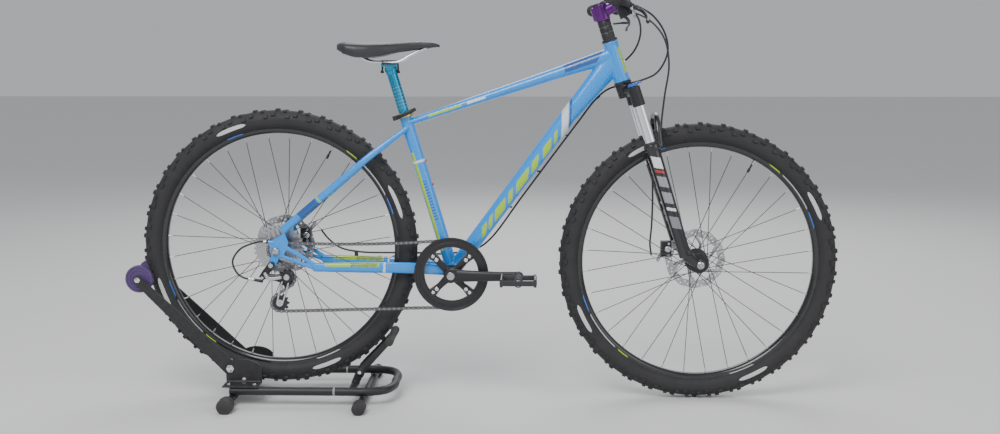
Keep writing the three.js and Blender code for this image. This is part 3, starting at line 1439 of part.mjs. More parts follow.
// A domed side plate on a flange that sits on the base tube, with the arm's pivot bolt.
function rearBracket() {
  const yInner = -BRACKET_Y;
  const yOuter = -BRACKET_Y - FLANGE_THICKNESS;
  const low = baseTop + GAP;
  const middle = (BRACKET_BACK + BRACKET_FRONT) / 2;
  const half = (BRACKET_FRONT - BRACKET_BACK) / 2;
  const dome = Array.from({ length: 9 }, (_, i) => {
    const angle = (i / 8) * Math.PI;
    return [middle + half * Math.cos(angle), BRACKET_TOP - half * 0.6 + half * 0.6 * Math.sin(angle)];
  });
  const face = plate([[BRACKET_BACK, low], [BRACKET_FRONT, low], ...dome], yOuter, yInner);
  const flange = box(
    point(middle, (yInner - BASE_HALF_WIDTH - BASE_TUBE_RADIUS) / 2, low + FLANGE_THICKNESS / 2),
    2 * half,
    BASE_HALF_WIDTH + BASE_TUBE_RADIUS - BRACKET_Y,
    FLANGE_THICKNESS,
  );
  const bolt = drum(armPivotAt, 9, yOuter - 7, yOuter, 12);
  const small = drum(point(middle, 0, low + 9), 5, yOuter - 3, yOuter, 8);
  return join(face, flange, bolt, small);
}

// Two side plates from the pivot to the roller's shaft, which joins them.
function rollerArm() {
  const side = (way) => {
    const y1 = way * ARM_Y;
    const y2 = way * (ARM_Y - ARM_THICKNESS);
    const low = Math.min(y1, y2);
    const high = Math.max(y1, y2);
    return join(
      strut([armPivotAt.x, armPivotAt.z], [rollerAt.x, rollerAt.z], ARM_WIDTH + 10, low, high, ARM_WIDTH - 6),
      drum(armPivotAt, ARM_WIDTH / 2 + 5, low, high),
      drum(rollerAt, ARM_WIDTH / 2 - 3, low, high),
    );
  };
  return join(side(-1), side(1), drum(rollerAt, ROLLER_SHAFT_RADIUS, -ARM_Y + 1, ARM_Y - 1, 10));
}

// The roller: a slim core under the tyre between two discs, on a bore for the shaft.
function armRoller() {
  const core = drum(rollerAt, ROLLER_CORE_RADIUS, -ROLLER_HALF, ROLLER_HALF, 12);
  const discs = [-1, 1].map((side) => {
    const y = side * (ROLLER_HALF - ROLLER_DISC_WIDTH / 2);
    return drum(rollerAt, ROLLER_RADIUS, y - ROLLER_DISC_WIDTH / 2, y + ROLLER_DISC_WIDTH / 2, 24);
  });
  return cut(join(core, ...discs), boreAcross(rollerAt, ROLLER_SHAFT_RADIUS, -ARM_Y, ARM_Y, 10));
}

// The cradle ahead of the tyre: a cross tube, two posts and the sleeved peg that stops the tyre.
function frontCradle() {
  const cross = bar(
    point(CRADLE_X, -BASE_HALF_WIDTH, BASE_HEIGHT),
    point(CRADLE_X, BASE_HALF_WIDTH, BASE_HEIGHT),
    9,
  );
  const sides = [-1, 1].map((way) => {
    const low = way * CRADLE_Y - CRADLE_THICKNESS / 2;
    const high = way * CRADLE_Y + CRADLE_THICKNESS / 2;
    const elbow = [CRADLE_X + 14, BASE_HEIGHT + 34];
    return join(
      strut([CRADLE_X, BASE_HEIGHT], elbow, 22, low, high),
      strut(elbow, [pegAt.x, pegAt.z], 20, low, high, 16),
      bar(point(elbow[0], low - 4, elbow[1]), point(elbow[0], high + 4, elbow[1]), 9),
    );
  });
  const peg = drum(pegAt, PEG_RADIUS, -PEG_HALF, PEG_HALF, 12);
  return largest(cut(join(cross, ...sides, peg), baseTube(GAP)));
}

function buildStand() {
  add("stand_base", baseTube(), blackPowder);
  add("rear_foot_bar", footBar(REAR_FEET_X, REAR_FOOT_RADIUS), blackPowder);
  add("front_foot_bar", footBar(FRONT_FEET_X, FRONT_FOOT_RADIUS), blackPowder);
  add("rear_bracket_right", rearBracket(), blackPowder);
  add("rear_bracket_left", mirrored(rearBracket()), blackPowder);
  add("front_cradle", frontCradle(), blackPowder);
  add("roller_arm", rollerArm(), blackPowder);
  add("arm_roller", armRoller(), blackPlastic);
}

buildWheels();
buildFrame();
buildSeat();
buildFork();
buildCockpit();
buildDrive();
buildBrakes();
buildAxleLevers();
buildCables();
buildStand();

const bounds = new THREE.Box3().setFromObject(bicycle);
bicycle.position.set(-(bounds.min.x + bounds.max.x) / 2, -(bounds.min.y + bounds.max.y) / 2, -bounds.min.z);

export default bicycle;
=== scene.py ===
"""A mountain bicycle held on a roller stand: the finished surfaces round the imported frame.

Lengths are written in millimetres, measured forwards from the rear axle, to the rider's left and up from
the floor, and at() turns them into the frame's metres.
"""

import json
import logging
import math
from dataclasses import dataclass, field
from enum import Enum
from typing import Callable, Iterable, Sequence

import bmesh
import bpy
import numpy as np
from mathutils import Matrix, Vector


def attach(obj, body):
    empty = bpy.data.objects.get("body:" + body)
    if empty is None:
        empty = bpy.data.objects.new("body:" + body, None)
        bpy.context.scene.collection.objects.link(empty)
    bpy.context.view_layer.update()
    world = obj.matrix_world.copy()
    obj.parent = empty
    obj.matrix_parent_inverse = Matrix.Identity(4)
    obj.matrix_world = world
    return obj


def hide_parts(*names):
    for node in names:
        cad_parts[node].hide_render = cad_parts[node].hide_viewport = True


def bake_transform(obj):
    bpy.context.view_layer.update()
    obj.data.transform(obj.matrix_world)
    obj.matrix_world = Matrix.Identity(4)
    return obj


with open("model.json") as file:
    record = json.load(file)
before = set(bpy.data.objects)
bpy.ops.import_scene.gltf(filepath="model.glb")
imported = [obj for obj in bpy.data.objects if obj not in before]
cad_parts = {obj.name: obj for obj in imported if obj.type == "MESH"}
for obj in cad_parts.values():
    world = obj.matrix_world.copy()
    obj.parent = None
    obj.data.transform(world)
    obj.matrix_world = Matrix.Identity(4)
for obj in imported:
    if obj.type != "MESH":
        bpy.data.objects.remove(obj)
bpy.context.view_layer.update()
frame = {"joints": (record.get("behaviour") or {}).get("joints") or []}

LOG = logging.getLogger("bicycle")
MM = 0.001
Route = Sequence[Sequence[float]]
Colour = tuple[float, float, float]

JOINTS = {joint["name"]: joint for joint in frame["joints"]}
REAR_AXLE = Vector(JOINTS["rear_wheel_spin"]["pos_m"])


def at(x: float, y: float, z: float) -> np.ndarray:
    """A place in the frame, from millimetres ahead of the rear axle, to the left and above the floor."""
    return np.array([REAR_AXLE.x + x * MM, y * MM, z * MM])


def joint_place(name: str) -> np.ndarray:
    """The pivot of a joint, in metres."""
    return np.array(JOINTS[name]["pos_m"], dtype=float)


def joint_axis(name: str) -> np.ndarray:
    """The unit axis of a joint."""
    axis = np.array(JOINTS[name]["axis"], dtype=float)
    return axis / np.linalg.norm(axis)


REAR_WHEEL = joint_place("rear_wheel_spin")
FRONT_WHEEL = joint_place("front_wheel_spin")
BOTTOM_BRACKET = joint_place("crank_spin")
HEAD_BOTTOM = joint_place("steering_turn")
STEER_UP = joint_axis("steering_turn")
STEER_FORWARD = np.array([STEER_UP[2], 0.0, -STEER_UP[0]])
SEAT_UP = joint_axis("seat_height")
SEAT_FORWARD = np.array([SEAT_UP[2], 0.0, -SEAT_UP[0]])
Y_AXIS = np.array([0.0, 1.0, 0.0])


def on_seat(up: float, forward: float = 0, y: float = 0) -> np.ndarray:
    """A place up the seat tube from the bottom bracket, forward of its axis, in millimetres."""
    spot = BOTTOM_BRACKET + SEAT_UP * up * MM + SEAT_FORWARD * forward * MM
    return np.array([spot[0], y * MM, spot[2]])


def on_steer(up: float, forward: float = 0, y: float = 0) -> np.ndarray:
    """A place up the steering axis from the head tube's lower end, forward of it, in millimetres."""
    spot = HEAD_BOTTOM + STEER_UP * up * MM + STEER_FORWARD * forward * MM
    return np.array([spot[0], y * MM, spot[2]])


def off(place: np.ndarray, x: float = 0, y: float = 0, z: float = 0) -> np.ndarray:
    """A place moved by millimetres."""
    return place + np.array([x, y, z]) * MM


def mix(a: np.ndarray, b: np.ndarray, share: float) -> np.ndarray:
    """The place a share of the way from a to b."""
    return a + (b - a) * share


def unit(v: np.ndarray) -> np.ndarray:
    """A vector of length one."""
    return v / np.linalg.norm(v)


# ---------------------------------------------------------------- shader groups
def new_group(name: str, inputs: Sequence[tuple[str, str, float]], outputs: Sequence[tuple[str, str]]):
    """An empty shader group with named sockets.

    Args:
        name: the group's name.
        inputs: name, socket type and default of each input.
        outputs: name and socket type of each output.

    Returns:
        The group with its input and output nodes.
    """
    group = bpy.data.node_groups.new(name, "ShaderNodeTree")
    for label, kind, value in inputs:
        socket = group.interface.new_socket(label, in_out="INPUT", socket_type=kind)
        if kind == "NodeSocketFloat":
            socket.default_value = value
    for label, kind in outputs:
        group.interface.new_socket(label, in_out="OUTPUT", socket_type=kind)
    return group, group.nodes.new("NodeGroupInput"), group.nodes.new("NodeGroupOutput")


def maths(tree: bpy.types.NodeTree, operation: str, *values, clamp: bool = False) -> bpy.types.NodeSocket:
    """A Math node fed by sockets or numbers; returns its output."""
    node = tree.nodes.new("ShaderNodeMath")
    node.operation = operation
    node.use_clamp = clamp
    for i, value in enumerate(values):
        if isinstance(value, (int, float)):
            node.inputs[i].default_value = value
        else:
            tree.links.new(value, node.inputs[i])
    return node.outputs[0]


def build_grain_group() -> bpy.types.NodeTree:
    """Fine grain over broad mottling, for paint, plastic, rubber and cast metal."""
    group, inner, outer = new_group(
        "SurfaceGrain",
        [("Scale", "NodeSocketFloat", 400.0), ("Mottle", "NodeSocketFloat", 12.0)],
        [("Height", "NodeSocketFloat"), ("Variation", "NodeSocketFloat")],
    )
    place = group.nodes.new("ShaderNodeTexCoord")
    fine = group.nodes.new("ShaderNodeTexNoise")
    fine.inputs["Detail"].default_value = 3.0
    broad = group.nodes.new("ShaderNodeTexNoise")
    broad.inputs["Detail"].default_value = 4.0
    for node, label in ((fine, "Scale"), (broad, "Mottle")):
        group.links.new(place.outputs["Object"], node.inputs["Vector"])
        group.links.new(inner.outputs[label], node.inputs["Scale"])
    group.links.new(fine.outputs["Fac"], outer.inputs["Height"])
    group.links.new(broad.outputs["Fac"], outer.inputs["Variation"])
    return group


def build_wear_group() -> bpy.types.NodeTree:
    """Paint worn off along outward edges, in broken patches."""
    group, inner, outer = new_group(
        "EdgeWear",
        [("Amount", "NodeSocketFloat", 0.2), ("Scale", "NodeSocketFloat", 90.0)],
        [("Mask", "NodeSocketFloat")],
    )
    place = group.nodes.new("ShaderNodeTexCoord")
    edge = group.nodes.new("ShaderNodeNewGeometry")
    patch = group.nodes.new("ShaderNodeTexNoise")
    patch.inputs["Detail"].default_value = 5.0
    group.links.new(place.outputs["Object"], patch.inputs["Vector"])
    group.links.new(inner.outputs["Scale"], patch.inputs["Scale"])
    sharp = maths(group, "MULTIPLY", maths(group, "SUBTRACT", edge.outputs["Pointiness"], 0.54), 9.0,
        clamp=True)
    broken = maths(group, "MULTIPLY", maths(group, "SUBTRACT", patch.outputs["Fac"], 0.42), 5.0, clamp=True)
    mask = maths(group, "MULTIPLY", maths(group, "MULTIPLY", sharp, broken), inner.outputs["Amount"],
        clamp=True)
    group.links.new(mask, outer.inputs["Mask"])
    return group


def build_dust_group() -> bpy.types.NodeTree:
    """Dust that settles on faces turned upwards, in broken specks."""
    group, inner, outer = new_group(
        "Dust",
        [("Amount", "NodeSocketFloat", 0.2), ("Scale", "NodeSocketFloat", 25.0)],
        [("Mask", "NodeSocketFloat")],
    )
    place = group.nodes.new("ShaderNodeTexCoord")
    speck = group.nodes.new("ShaderNodeTexNoise")
    speck.inputs["Detail"].default_value = 7.0
    speck.inputs["Roughness"].default_value = 0.7
    split = group.nodes.new("ShaderNodeSeparateXYZ")
    group.links.new(place.outputs["Object"], speck.inputs["Vector"])
    group.links.new(inner.outputs["Scale"], speck.inputs["Scale"])
    group.links.new(place.outputs["Normal"], split.inputs["Vector"])
    upward = maths(group, "ADD", maths(group, "MULTIPLY", split.outputs["Z"], 0.5), 0.5)
    cover = maths(group, "MULTIPLY", maths(group, "SUBTRACT", speck.outputs["Fac"], 0.35), 2.0, clamp=True)
    mask = maths(group, "MULTIPLY", maths(group, "MULTIPLY", upward, cover), inner.outputs["Amount"],
        clamp=True)
    group.links.new(mask, outer.inputs["Mask"])
    return group


GRAIN = build_grain_group()
WEAR = build_wear_group()
DUST = build_dust_group()
PAINT = "Paint"  # the colour attribute that a multi-coloured piece carries
DUST_COLOUR = (0.36, 0.33, 0.29, 1.0)


@dataclass(frozen=True)
class Finish:
    """One finish of the bicycle: a Principled surface with grain, worn edges and dust.

    painted takes the base colour from the piece's own colour attribute.
    """

    name: str
    slot: str
    colour: Colour
    roughness: float = 0.4
    metallic: float = 0.0
    coat: float = 0.0
    variation: float = 0.1
    grain: float = 500.0
    depth: float = 0.1
    wear: float = 0.0
    wear_colour: Colour = (0.5, 0.5, 0.5)
    dust: float = 0.06
    mottle: float = 14.0
    painted: bool = False

    def material(self) -> bpy.types.Material:
        """The finish's material, made the first time that it is asked for."""
        made = bpy.data.materials.get(self.name)
        if made:
            return made
        material = bpy.data.materials.new(self.name)
        material.use_nodes = True
        tree = material.node_tree
        shader = tree.nodes["Principled BSDF"]
        shader.inputs["Metallic"].default_value = self.metallic
        shader.inputs["Coat Weight"].default_value = self.coat
        shader.inputs["Coat Roughness"].default_value = 0.08
        grain = self.group(tree, GRAIN, Scale=self.grain, Mottle=self.mottle)
        wear = self.group(tree, WEAR, Amount=self.wear, Scale=90.0)
        dust = self.group(tree, DUST, Amount=self.dust, Scale=25.0)
        level = maths(tree, "SUBTRACT", grain.outputs["Variation"], 0.5)
        tint = tree.nodes.new("ShaderNodeHueSaturation")
        tree.links.new(maths(tree, "ADD", maths(tree, "MULTIPLY", level, 4 * self.variation), 1.0),
            tint.inputs["Value"])
        if self.painted:
            paint = tree.nodes.new("ShaderNodeAttribute")
            paint.attribute_name = PAINT
            tree.links.new(paint.outputs["Color"], tint.inputs["Color"])
        else:
            tint.inputs["Color"].default_value = (*self.colour, 1.0)
        worn = self.blend(tree, wear.outputs["Mask"], tint.outputs["Color"], (*self.wear_colour, 1.0))
        dusty = self.blend(tree, dust.outputs["Mask"], worn, DUST_COLOUR)
        tree.links.new(dusty, shader.inputs["Base Color"])
        rough = maths(tree, "ADD", maths(tree, "MULTIPLY", level, 0.35), self.roughness)
        rough = maths(tree, "ADD", rough, maths(tree, "MULTIPLY", dust.outputs["Mask"], 0.4), clamp=True)
        tree.links.new(rough, shader.inputs["Roughness"])
        bump = tree.nodes.new("ShaderNodeBump")
        bump.inputs["Strength"].default_value = self.depth
        bump.inputs["Distance"].default_value = 0.0006
        tree.links.new(grain.outputs["Height"], bump.inputs["Height"])
        tree.links.new(bump.outputs["Normal"], shader.inputs["Normal"])
        return material

    @staticmethod
    def group(tree: bpy.types.NodeTree, shared: bpy.types.NodeTree, **values: float) -> bpy.types.Node:
        """Places a shared effect in the material with its own values."""
        node = tree.nodes.new("ShaderNodeGroup")
        node.node_tree = shared
        for label, value in values.items():
            node.inputs[label].default_value = value
        return node

    @staticmethod
    def blend(tree: bpy.types.NodeTree, share: bpy.types.NodeSocket, base: bpy.types.NodeSocket,
        over) -> bpy.types.NodeSocket:
        """Lays a colour over another by a mask."""
        node = tree.nodes.new("ShaderNodeMix")
        node.data_type = "RGBA"
        tree.links.new(share, node.inputs["Factor"])
        tree.links.new(base, node.inputs["A"])
        node.inputs["B"].default_value = over
        return node.outputs["Result"]


SKY = (0.0, 0.3, 0.88)
LIME = (0.42, 0.68, 0.005)
NAVY = (0.005, 0.09, 0.36)
INK = (0.012, 0.012, 0.014)
WHITE = (0.82, 0.83, 0.84)
RED = (0.55, 0.02, 0.03)


class Finishes(Enum):
    """The finishes that the bicycle and its stand are made in."""

    FRAME_PAINT = Finish("frame_paint", "sky_paint", SKY, 0.24, coat=0.7, variation=0.03, depth=0.03,
        dust=0.05,
                         wear=0.15, painted=True)
    STAND_POWDER = Finish("stand_powder", "black_powder", (0.016, 0.016, 0.018), 0.42, variation=0.1,
        grain=900.0,
                          depth=0.35, wear=0.12, wear_colour=(0.16, 0.155, 0.15), dust=0.05)
    GLOSS_BLACK = Finish("gloss_black", "black_paint", (0.012, 0.012, 0.014), 0.22, coat=0.5, variation=0.05,
                         depth=0.04, wear=0.1, dust=0.02)
    GLOSS_MARKED = Finish("gloss_marked", "black_paint", INK, 0.24, coat=0.5, variation=0.04, depth=0.04,
        dust=0.02, painted=True)
    SATIN_BLACK = Finish("satin_black", "black_paint", (0.014, 0.014, 0.016), 0.38, variation=0.06,
        depth=0.1, wear=0.1, dust=0.02)
    BLACK_PLASTIC = Finish("black_plastic", "black_plastic", (0.022, 0.022, 0.024), 0.5, grain=1500.0,
        depth=0.3, dust=0.1)
    PURPLE_PLASTIC = Finish("purple_plastic", "purple_plastic", (0.02, 0.012, 0.045), 0.38, grain=900.0,
        depth=0.15)
    FOOT_RUBBER = Finish("foot_rubber", "rubber", (0.025, 0.025, 0.027), 0.75, grain=1200.0, depth=0.4,
        dust=0.3)
    GRIP_RUBBER = Finish("grip_rubber", "rubber", (0.02, 0.02, 0.022), 0.68, grain=1600.0, depth=0.5,
        dust=0.1)
    TYRE_RUBBER = Finish("tyre_rubber", "tyre", (0.022, 0.022, 0.024), 0.7, variation=0.12, grain=1100.0,
        depth=0.4,
                         dust=0.07, mottle=9.0)
    TYRE_MARK = Finish("tyre_mark", "tyre", (0.62, 0.63, 0.62), 0.45, grain=1400.0, depth=0.2, dust=0.1)
    STEEL = Finish("machined_steel", "steel", (0.5, 0.51, 0.53), 0.28, metallic=1.0, variation=0.12,
        grain=1800.0, depth=0.15)
    DARK_STEEL = Finish("chain_steel", "steel", (0.17, 0.17, 0.175), 0.34, metallic=1.0, variation=0.2,
        grain=1500.0, depth=0.15)
    CHROME = Finish("chrome", "chrome", (0.76, 0.77, 0.79), 0.1, metallic=1.0, variation=0.03, depth=0.02)
    TEAL = Finish("teal_anodised", "anodised_blue", (0.02, 0.3, 0.5), 0.24, metallic=0.85, variation=0.05,
        depth=0.06)
    PURPLE = Finish("purple_anodised", "anodised_purple", (0.15, 0.03, 0.22), 0.26, metallic=0.8,
        variation=0.06, depth=0.06)
    GOLD = Finish("gold_anodised", "anodised_gold", (0.62, 0.46, 0.14), 0.26, metallic=0.9, variation=0.06,
        depth=0.06)
    ROYAL = Finish("royal_blue", "royal_blue", (0.03, 0.06, 0.5), 0.28, metallic=0.5, variation=0.05,
        depth=0.06)
    RED_ANODISED = Finish("red_anodised", "black_paint", RED, 0.28, metallic=0.6, variation=0.05, depth=0.06)
    SADDLE_SKIN = Finish("saddle_skin", "saddle_skin", (0.02, 0.02, 0.023), 0.46, variation=0.1,
        grain=1300.0, depth=0.6,
                         dust=0.1, mottle=30.0)
    SADDLE_THREAD = Finish("saddle_thread", "saddle_skin", (0.3, 0.31, 0.33), 0.6, grain=2500.0, depth=0.5)
    CABLE = Finish("cable_housing", "cable_housing", (0.012, 0.012, 0.014), 0.32, variation=0.05,
        grain=1800.0, depth=0.1)
    LIME_DETAIL = Finish("lime_detail", "sky_paint", LIME, 0.35, coat=0.3, variation=0.04, depth=0.05)
    SILVER_DETAIL = Finish("silver_detail", "chrome", (0.6, 0.61, 0.63), 0.3, metallic=0.8, depth=0.05)
    BLUE_DETAIL = Finish("blue_detail", "sky_paint", (0.02, 0.16, 0.7), 0.3, coat=0.3, variation=0.04,
        depth=0.05)
    WHITE_DETAIL = Finish("white_detail", "black_paint", WHITE, 0.4, variation=0.04, depth=0.05)


# ---------------------------------------------------------------- meshes
class Skin:
    """The corners and faces of one piece, built up shape by shape, in metres."""

    def __init__(self) -> None:
        """Starts with no corners and no faces."""
        self.corners: list[np.ndarray] = []
        self.faces: list[tuple[int, ...]] = []
        self.count = 0

    def add(self, corners: np.ndarray, faces: Iterable[Sequence[int]]) -> "Skin":
        """Adds corners and the faces between them."""
        self.corners.append(np.asarray(corners, dtype=float).reshape(-1, 3))
        self.faces.extend(tuple(i + self.count for i in face) for face in faces)
        self.count += len(self.corners[-1])
        return self

    def grid(self, rows: np.ndarray, around: bool = True, closed: bool = False, caps: bool = True) -> "Skin":
        """A skin over rows of corners.

        Args:
            rows: corners as an array of rows by columns by 3.
            around: each row closes on itself.
            closed: the last row joins the first.
            caps: closes the first and last rows with flat faces.

        Returns:
            The skin itself.
        """
        m, n = rows.shape[:2]
        faces: list[tuple[int, ...]] = []
        for i in range(m if closed else m - 1):
            for j in range(n if around else n - 1):
                a, b = i * n + j, i * n + (j + 1) % n
                c, d = ((i + 1) % m) * n + (j + 1) % n, ((i + 1) % m) * n + j
                faces.append((a, b, c, d))
        if caps and around and not closed:
            faces.append(tuple(reversed(range(n))))
            faces.append(tuple(range((m - 1) * n, m * n)))
        return self.add(rows.reshape(-1, 3), faces)

    def turned(self, profile: Route, centre: np.ndarray, axis: np.ndarray = Y_AXIS, segments: int = 48,
               ring: bool = False) -> "Skin":
        """Turns a profile of radius and height pairs, in millimetres, about an axis."""
        axis = unit(axis)
        side = unit(np.cross(axis, (0, 0, 1) if abs(axis[2]) < 0.9 else (1, 0, 0)))
        other = np.cross(axis, side)
        angles = np.arange(segments) * 2 * np.pi / segments
        spokes = np.outer(np.cos(angles), side) + np.outer(np.sin(angles), other)
        rows = np.array([centre + spokes * max(r, 0.02) * MM + axis * h * MM for r, h in profile])
        return self.grid(rows, closed=ring)

    def sweep(self, route: Sequence[np.ndarray], high: Sequence[float] | float,
        wide: Sequence[float] | float | None = None,
              sides: int = 28, steps: int = 0, level: np.ndarray = Y_AXIS) -> "Skin":
        """A rounded bar along a route.

        Args:
            route: places in metres.
            high: the half height at each place, or at all of them, in millimetres.
            wide: the half width, along level; the same as high if left out.
            sides: corners round the bar.
            steps: if over 0, the route is a smooth curve in this many steps.
            level: the direction that the width is measured along.

        Returns:
            The skin itself.
        """
        places = np.array(route, dtype=float)
        highs = np.broadcast_to(np.asarray(high, dtype=float), (len(places),))
        wides = highs if wide is None else np.broadcast_to(np.asarray(wide, dtype=float), (len(places),))
        if steps:
            places, shares = smooth_route(places, steps)
            source = np.linspace(0, 1, len(highs))
            highs, wides = np.interp(shares, source, highs), np.interp(shares, source, wides)
        tangents = np.gradient(places, axis=0)
        angles = np.arange(sides) * 2 * np.pi / sides
        rows = []
        up = None
        for place, tangent, half, width in zip(places, tangents, highs, wides):
            tangent = unit(tangent)
            guide = level if up is None else np.cross(up, tangent)
            if abs(np.dot(unit(guide), tangent)) > 0.95:
                guide = np.array([1.0, 0.0, 0.0])
            up = unit(np.cross(tangent, guide))
            across = np.cross(up, tangent)
            rows.append(place + (np.outer(np.cos(angles) * half, up) + np.outer(np.sin(angles) * width,
                across)) * MM)
        return self.grid(np.array(rows))

    def rod(self, a: np.ndarray, b: np.ndarray, radius: float, radius_b: float | None = None,
        chamfer: float = 0.6,
            sides: int = 24) -> "Skin":
        """A straight rod with chamfered ends."""
        radius_b = radius if radius_b is None else radius_b
        length = np.linalg.norm(b - a) / MM
        cut = min(chamfer, radius / 2, radius_b / 2, length / 3)
        profile = [(radius - cut, 0), (radius, cut), (radius_b, length - cut), (radius_b - cut, length)]
        return self.turned(profile, a, b - a, sides)

    def plate(self, outline: Sequence[np.ndarray], shift: np.ndarray) -> "Skin":
        """A flat outline and its copy moved by shift, joined all round."""
        ring = np.array(outline)
        return self.grid(np.array([ring, ring + shift]))

    def block(self, centre: np.ndarray, sizes: Sequence[float], axes: np.ndarray | None = None,
        taper: float = 1.0) -> "Skin":
        """A block with its own axes, narrowed at the end of its third axis by taper; sizes in millimetres."""
        axes = np.eye(3) if axes is None else axes
        half = np.array(sizes) * MM / 2
        rows = []
        for end, share in ((-1, 1.0), (1, taper)):
            rows.append(
                [centre + axes[0] * sx * half[0] * share + axes[1] * sy * half[1] * share + axes[
                    2] * end * half[2]
                         for sx, sy in ((-1, -1), (1, -1), (1, 1), (-1, 1))])
        return self.grid(np.array(rows))

    def mirror(self) -> "Skin":
        """The skin together with its mirror image on the other side."""
        corners = np.concatenate(self.corners) * (1, -1, 1)
        return self.add(corners, [tuple(reversed(face)) for face in list(self.faces)])

    def mesh(self, name: str) -> bpy.types.Mesh:
        """The skin as a Blender mesh, with faces pointing out."""
        mesh = bpy.data.meshes.new(name)
        mesh.from_pydata(np.concatenate(self.corners).tolist(), [], self.faces)
        mesh.validate()
        mesh.update()
        return mesh

    def piece(self, name: str, finish: Finishes, body: str, replaces: Sequence[str] = (),
        crease: float = 35.0) -> bpy.types.Object:
        """Makes the piece as it is, smooth except at creases."""
        return dress(bpy.data.objects.new(name, self.mesh(name)), finish, body, replaces, crease)

    def fused(self, name: str, finish: Finishes, body: str, replaces: Sequence[str] = (), voxel: float = 1.5,
              rounds: int = 6, paint: Callable[[np.ndarray], np.ndarray] | None = None) -> bpy.types.Object:
        """Fuses the overlapping shapes into one skin with rounded welds.

        Args:
            name: the piece's name.
            finish: its finish.
            body: the body that it rides on.
            replaces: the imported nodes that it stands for.
            voxel: the grid of the fused skin, in millimetres.
            rounds: how often the skin is relaxed.
            paint: gives each corner's colour.

        Returns:
            The piece.
        """
        rough = bpy.data.objects.new(name + "_parts", self.mesh(name + "_parts"))
        bpy.context.scene.collection.objects.link(rough)
        remesh = rough.modifiers.new("fuse", "REMESH")
        remesh.mode = "VOXEL"
        remesh.voxel_size = voxel * MM
        relax = rough.modifiers.new("relax", "SMOOTH")
        relax.factor = 0.5
        relax.iterations = rounds
        shape = bpy.data.meshes.new_from_object(rough.evaluated_get(bpy.context.evaluated_depsgraph_get()))
        shape.name = name
        bpy.data.objects.remove(rough)
        piece = bpy.data.objects.new(name, shape)
        if paint:
            corners = np.empty(len(shape.vertices) * 3)
            shape.vertices.foreach_get("co", corners)
            colours = paint(corners.reshape(-1, 3))
            layer = shape.color_attributes.new(PAINT, "FLOAT_COLOR", "POINT")
            layer.data.foreach_set("color", np.hstack([colours, np.ones((len(colours), 1))]).ravel())
        return dress(piece, finish, body, replaces, 180.0)


def dress(piece: bpy.types.Object, finish: Finishes, body: str, replaces: Sequence[str],
    crease: float) -> bpy.types.Object:
    """Links a piece, gives it its finish, hangs it on the body it rides on and hides the nodes it stands for."""
    bpy.context.scene.collection.objects.link(piece)
    mesh = piece.data
    work = bmesh.new()
    work.from_mesh(mesh)
    bmesh.ops.recalc_face_normals(work, faces=work.faces)
    work.to_mesh(mesh)
    work.free()
    mesh.shade_smooth()
    if crease < 180:
        mesh.set_sharp_from_angle(angle=math.radians(crease))
    mesh.materials.clear()
    mesh.materials.append(finish.value.material())
    if body:
        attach(piece, body)
    if replaces:
        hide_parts(*replaces)
    LOG.info("%s rides on %s", piece.name, body or "two bodies")
    return piece


def smooth_route(places: np.ndarray, steps: int) -> tuple[np.ndarray, np.ndarray]:
    """A centripetal curve through the places, and how far along the list each of its points is."""
    gaps = np.sqrt(np.linalg.norm(np.diff(places, axis=0), axis=1))
    knots = np.concatenate([[0], np.cumsum(gaps)])
    slopes = np.gradient(places, knots, axis=0)
    result, shares = [], []
    for t in np.linspace(0, knots[-1], steps + 1):
        i = min(int(np.searchsorted(knots, t, side="right")) - 1, len(places) - 2)
        span = knots[i + 1] - knots[i]
        u = (t - knots[i]) / span
        result.append((2 * u**3 - 3 * u**2 + 1) * places[i] + (u**3 - 2 * u**2 + u) * span * slopes[i]
                      + (3 * u**2 - 2 * u**3) * places[i + 1] + (u**3 - u**2) * span * slopes[i + 1])
        shares.append((i + u) / (len(places) - 1))
    return np.array(result), np.array(shares)


def hex_bolt(skin: Skin, place: np.ndarray, axis: np.ndarray, radius: float, length: float) -> None:
    """A socket-headed bolt with a rounded rim and a sunk socket."""
    profile = [(radius, 0), (radius, length * 0.75), (radius * 0.85, length), (radius * 0.5, length),
        (radius * 0.45, length * 0.4),
               (0, length * 0.4)]
    skin.turned([(0, 0), *profile], place, axis, 18)


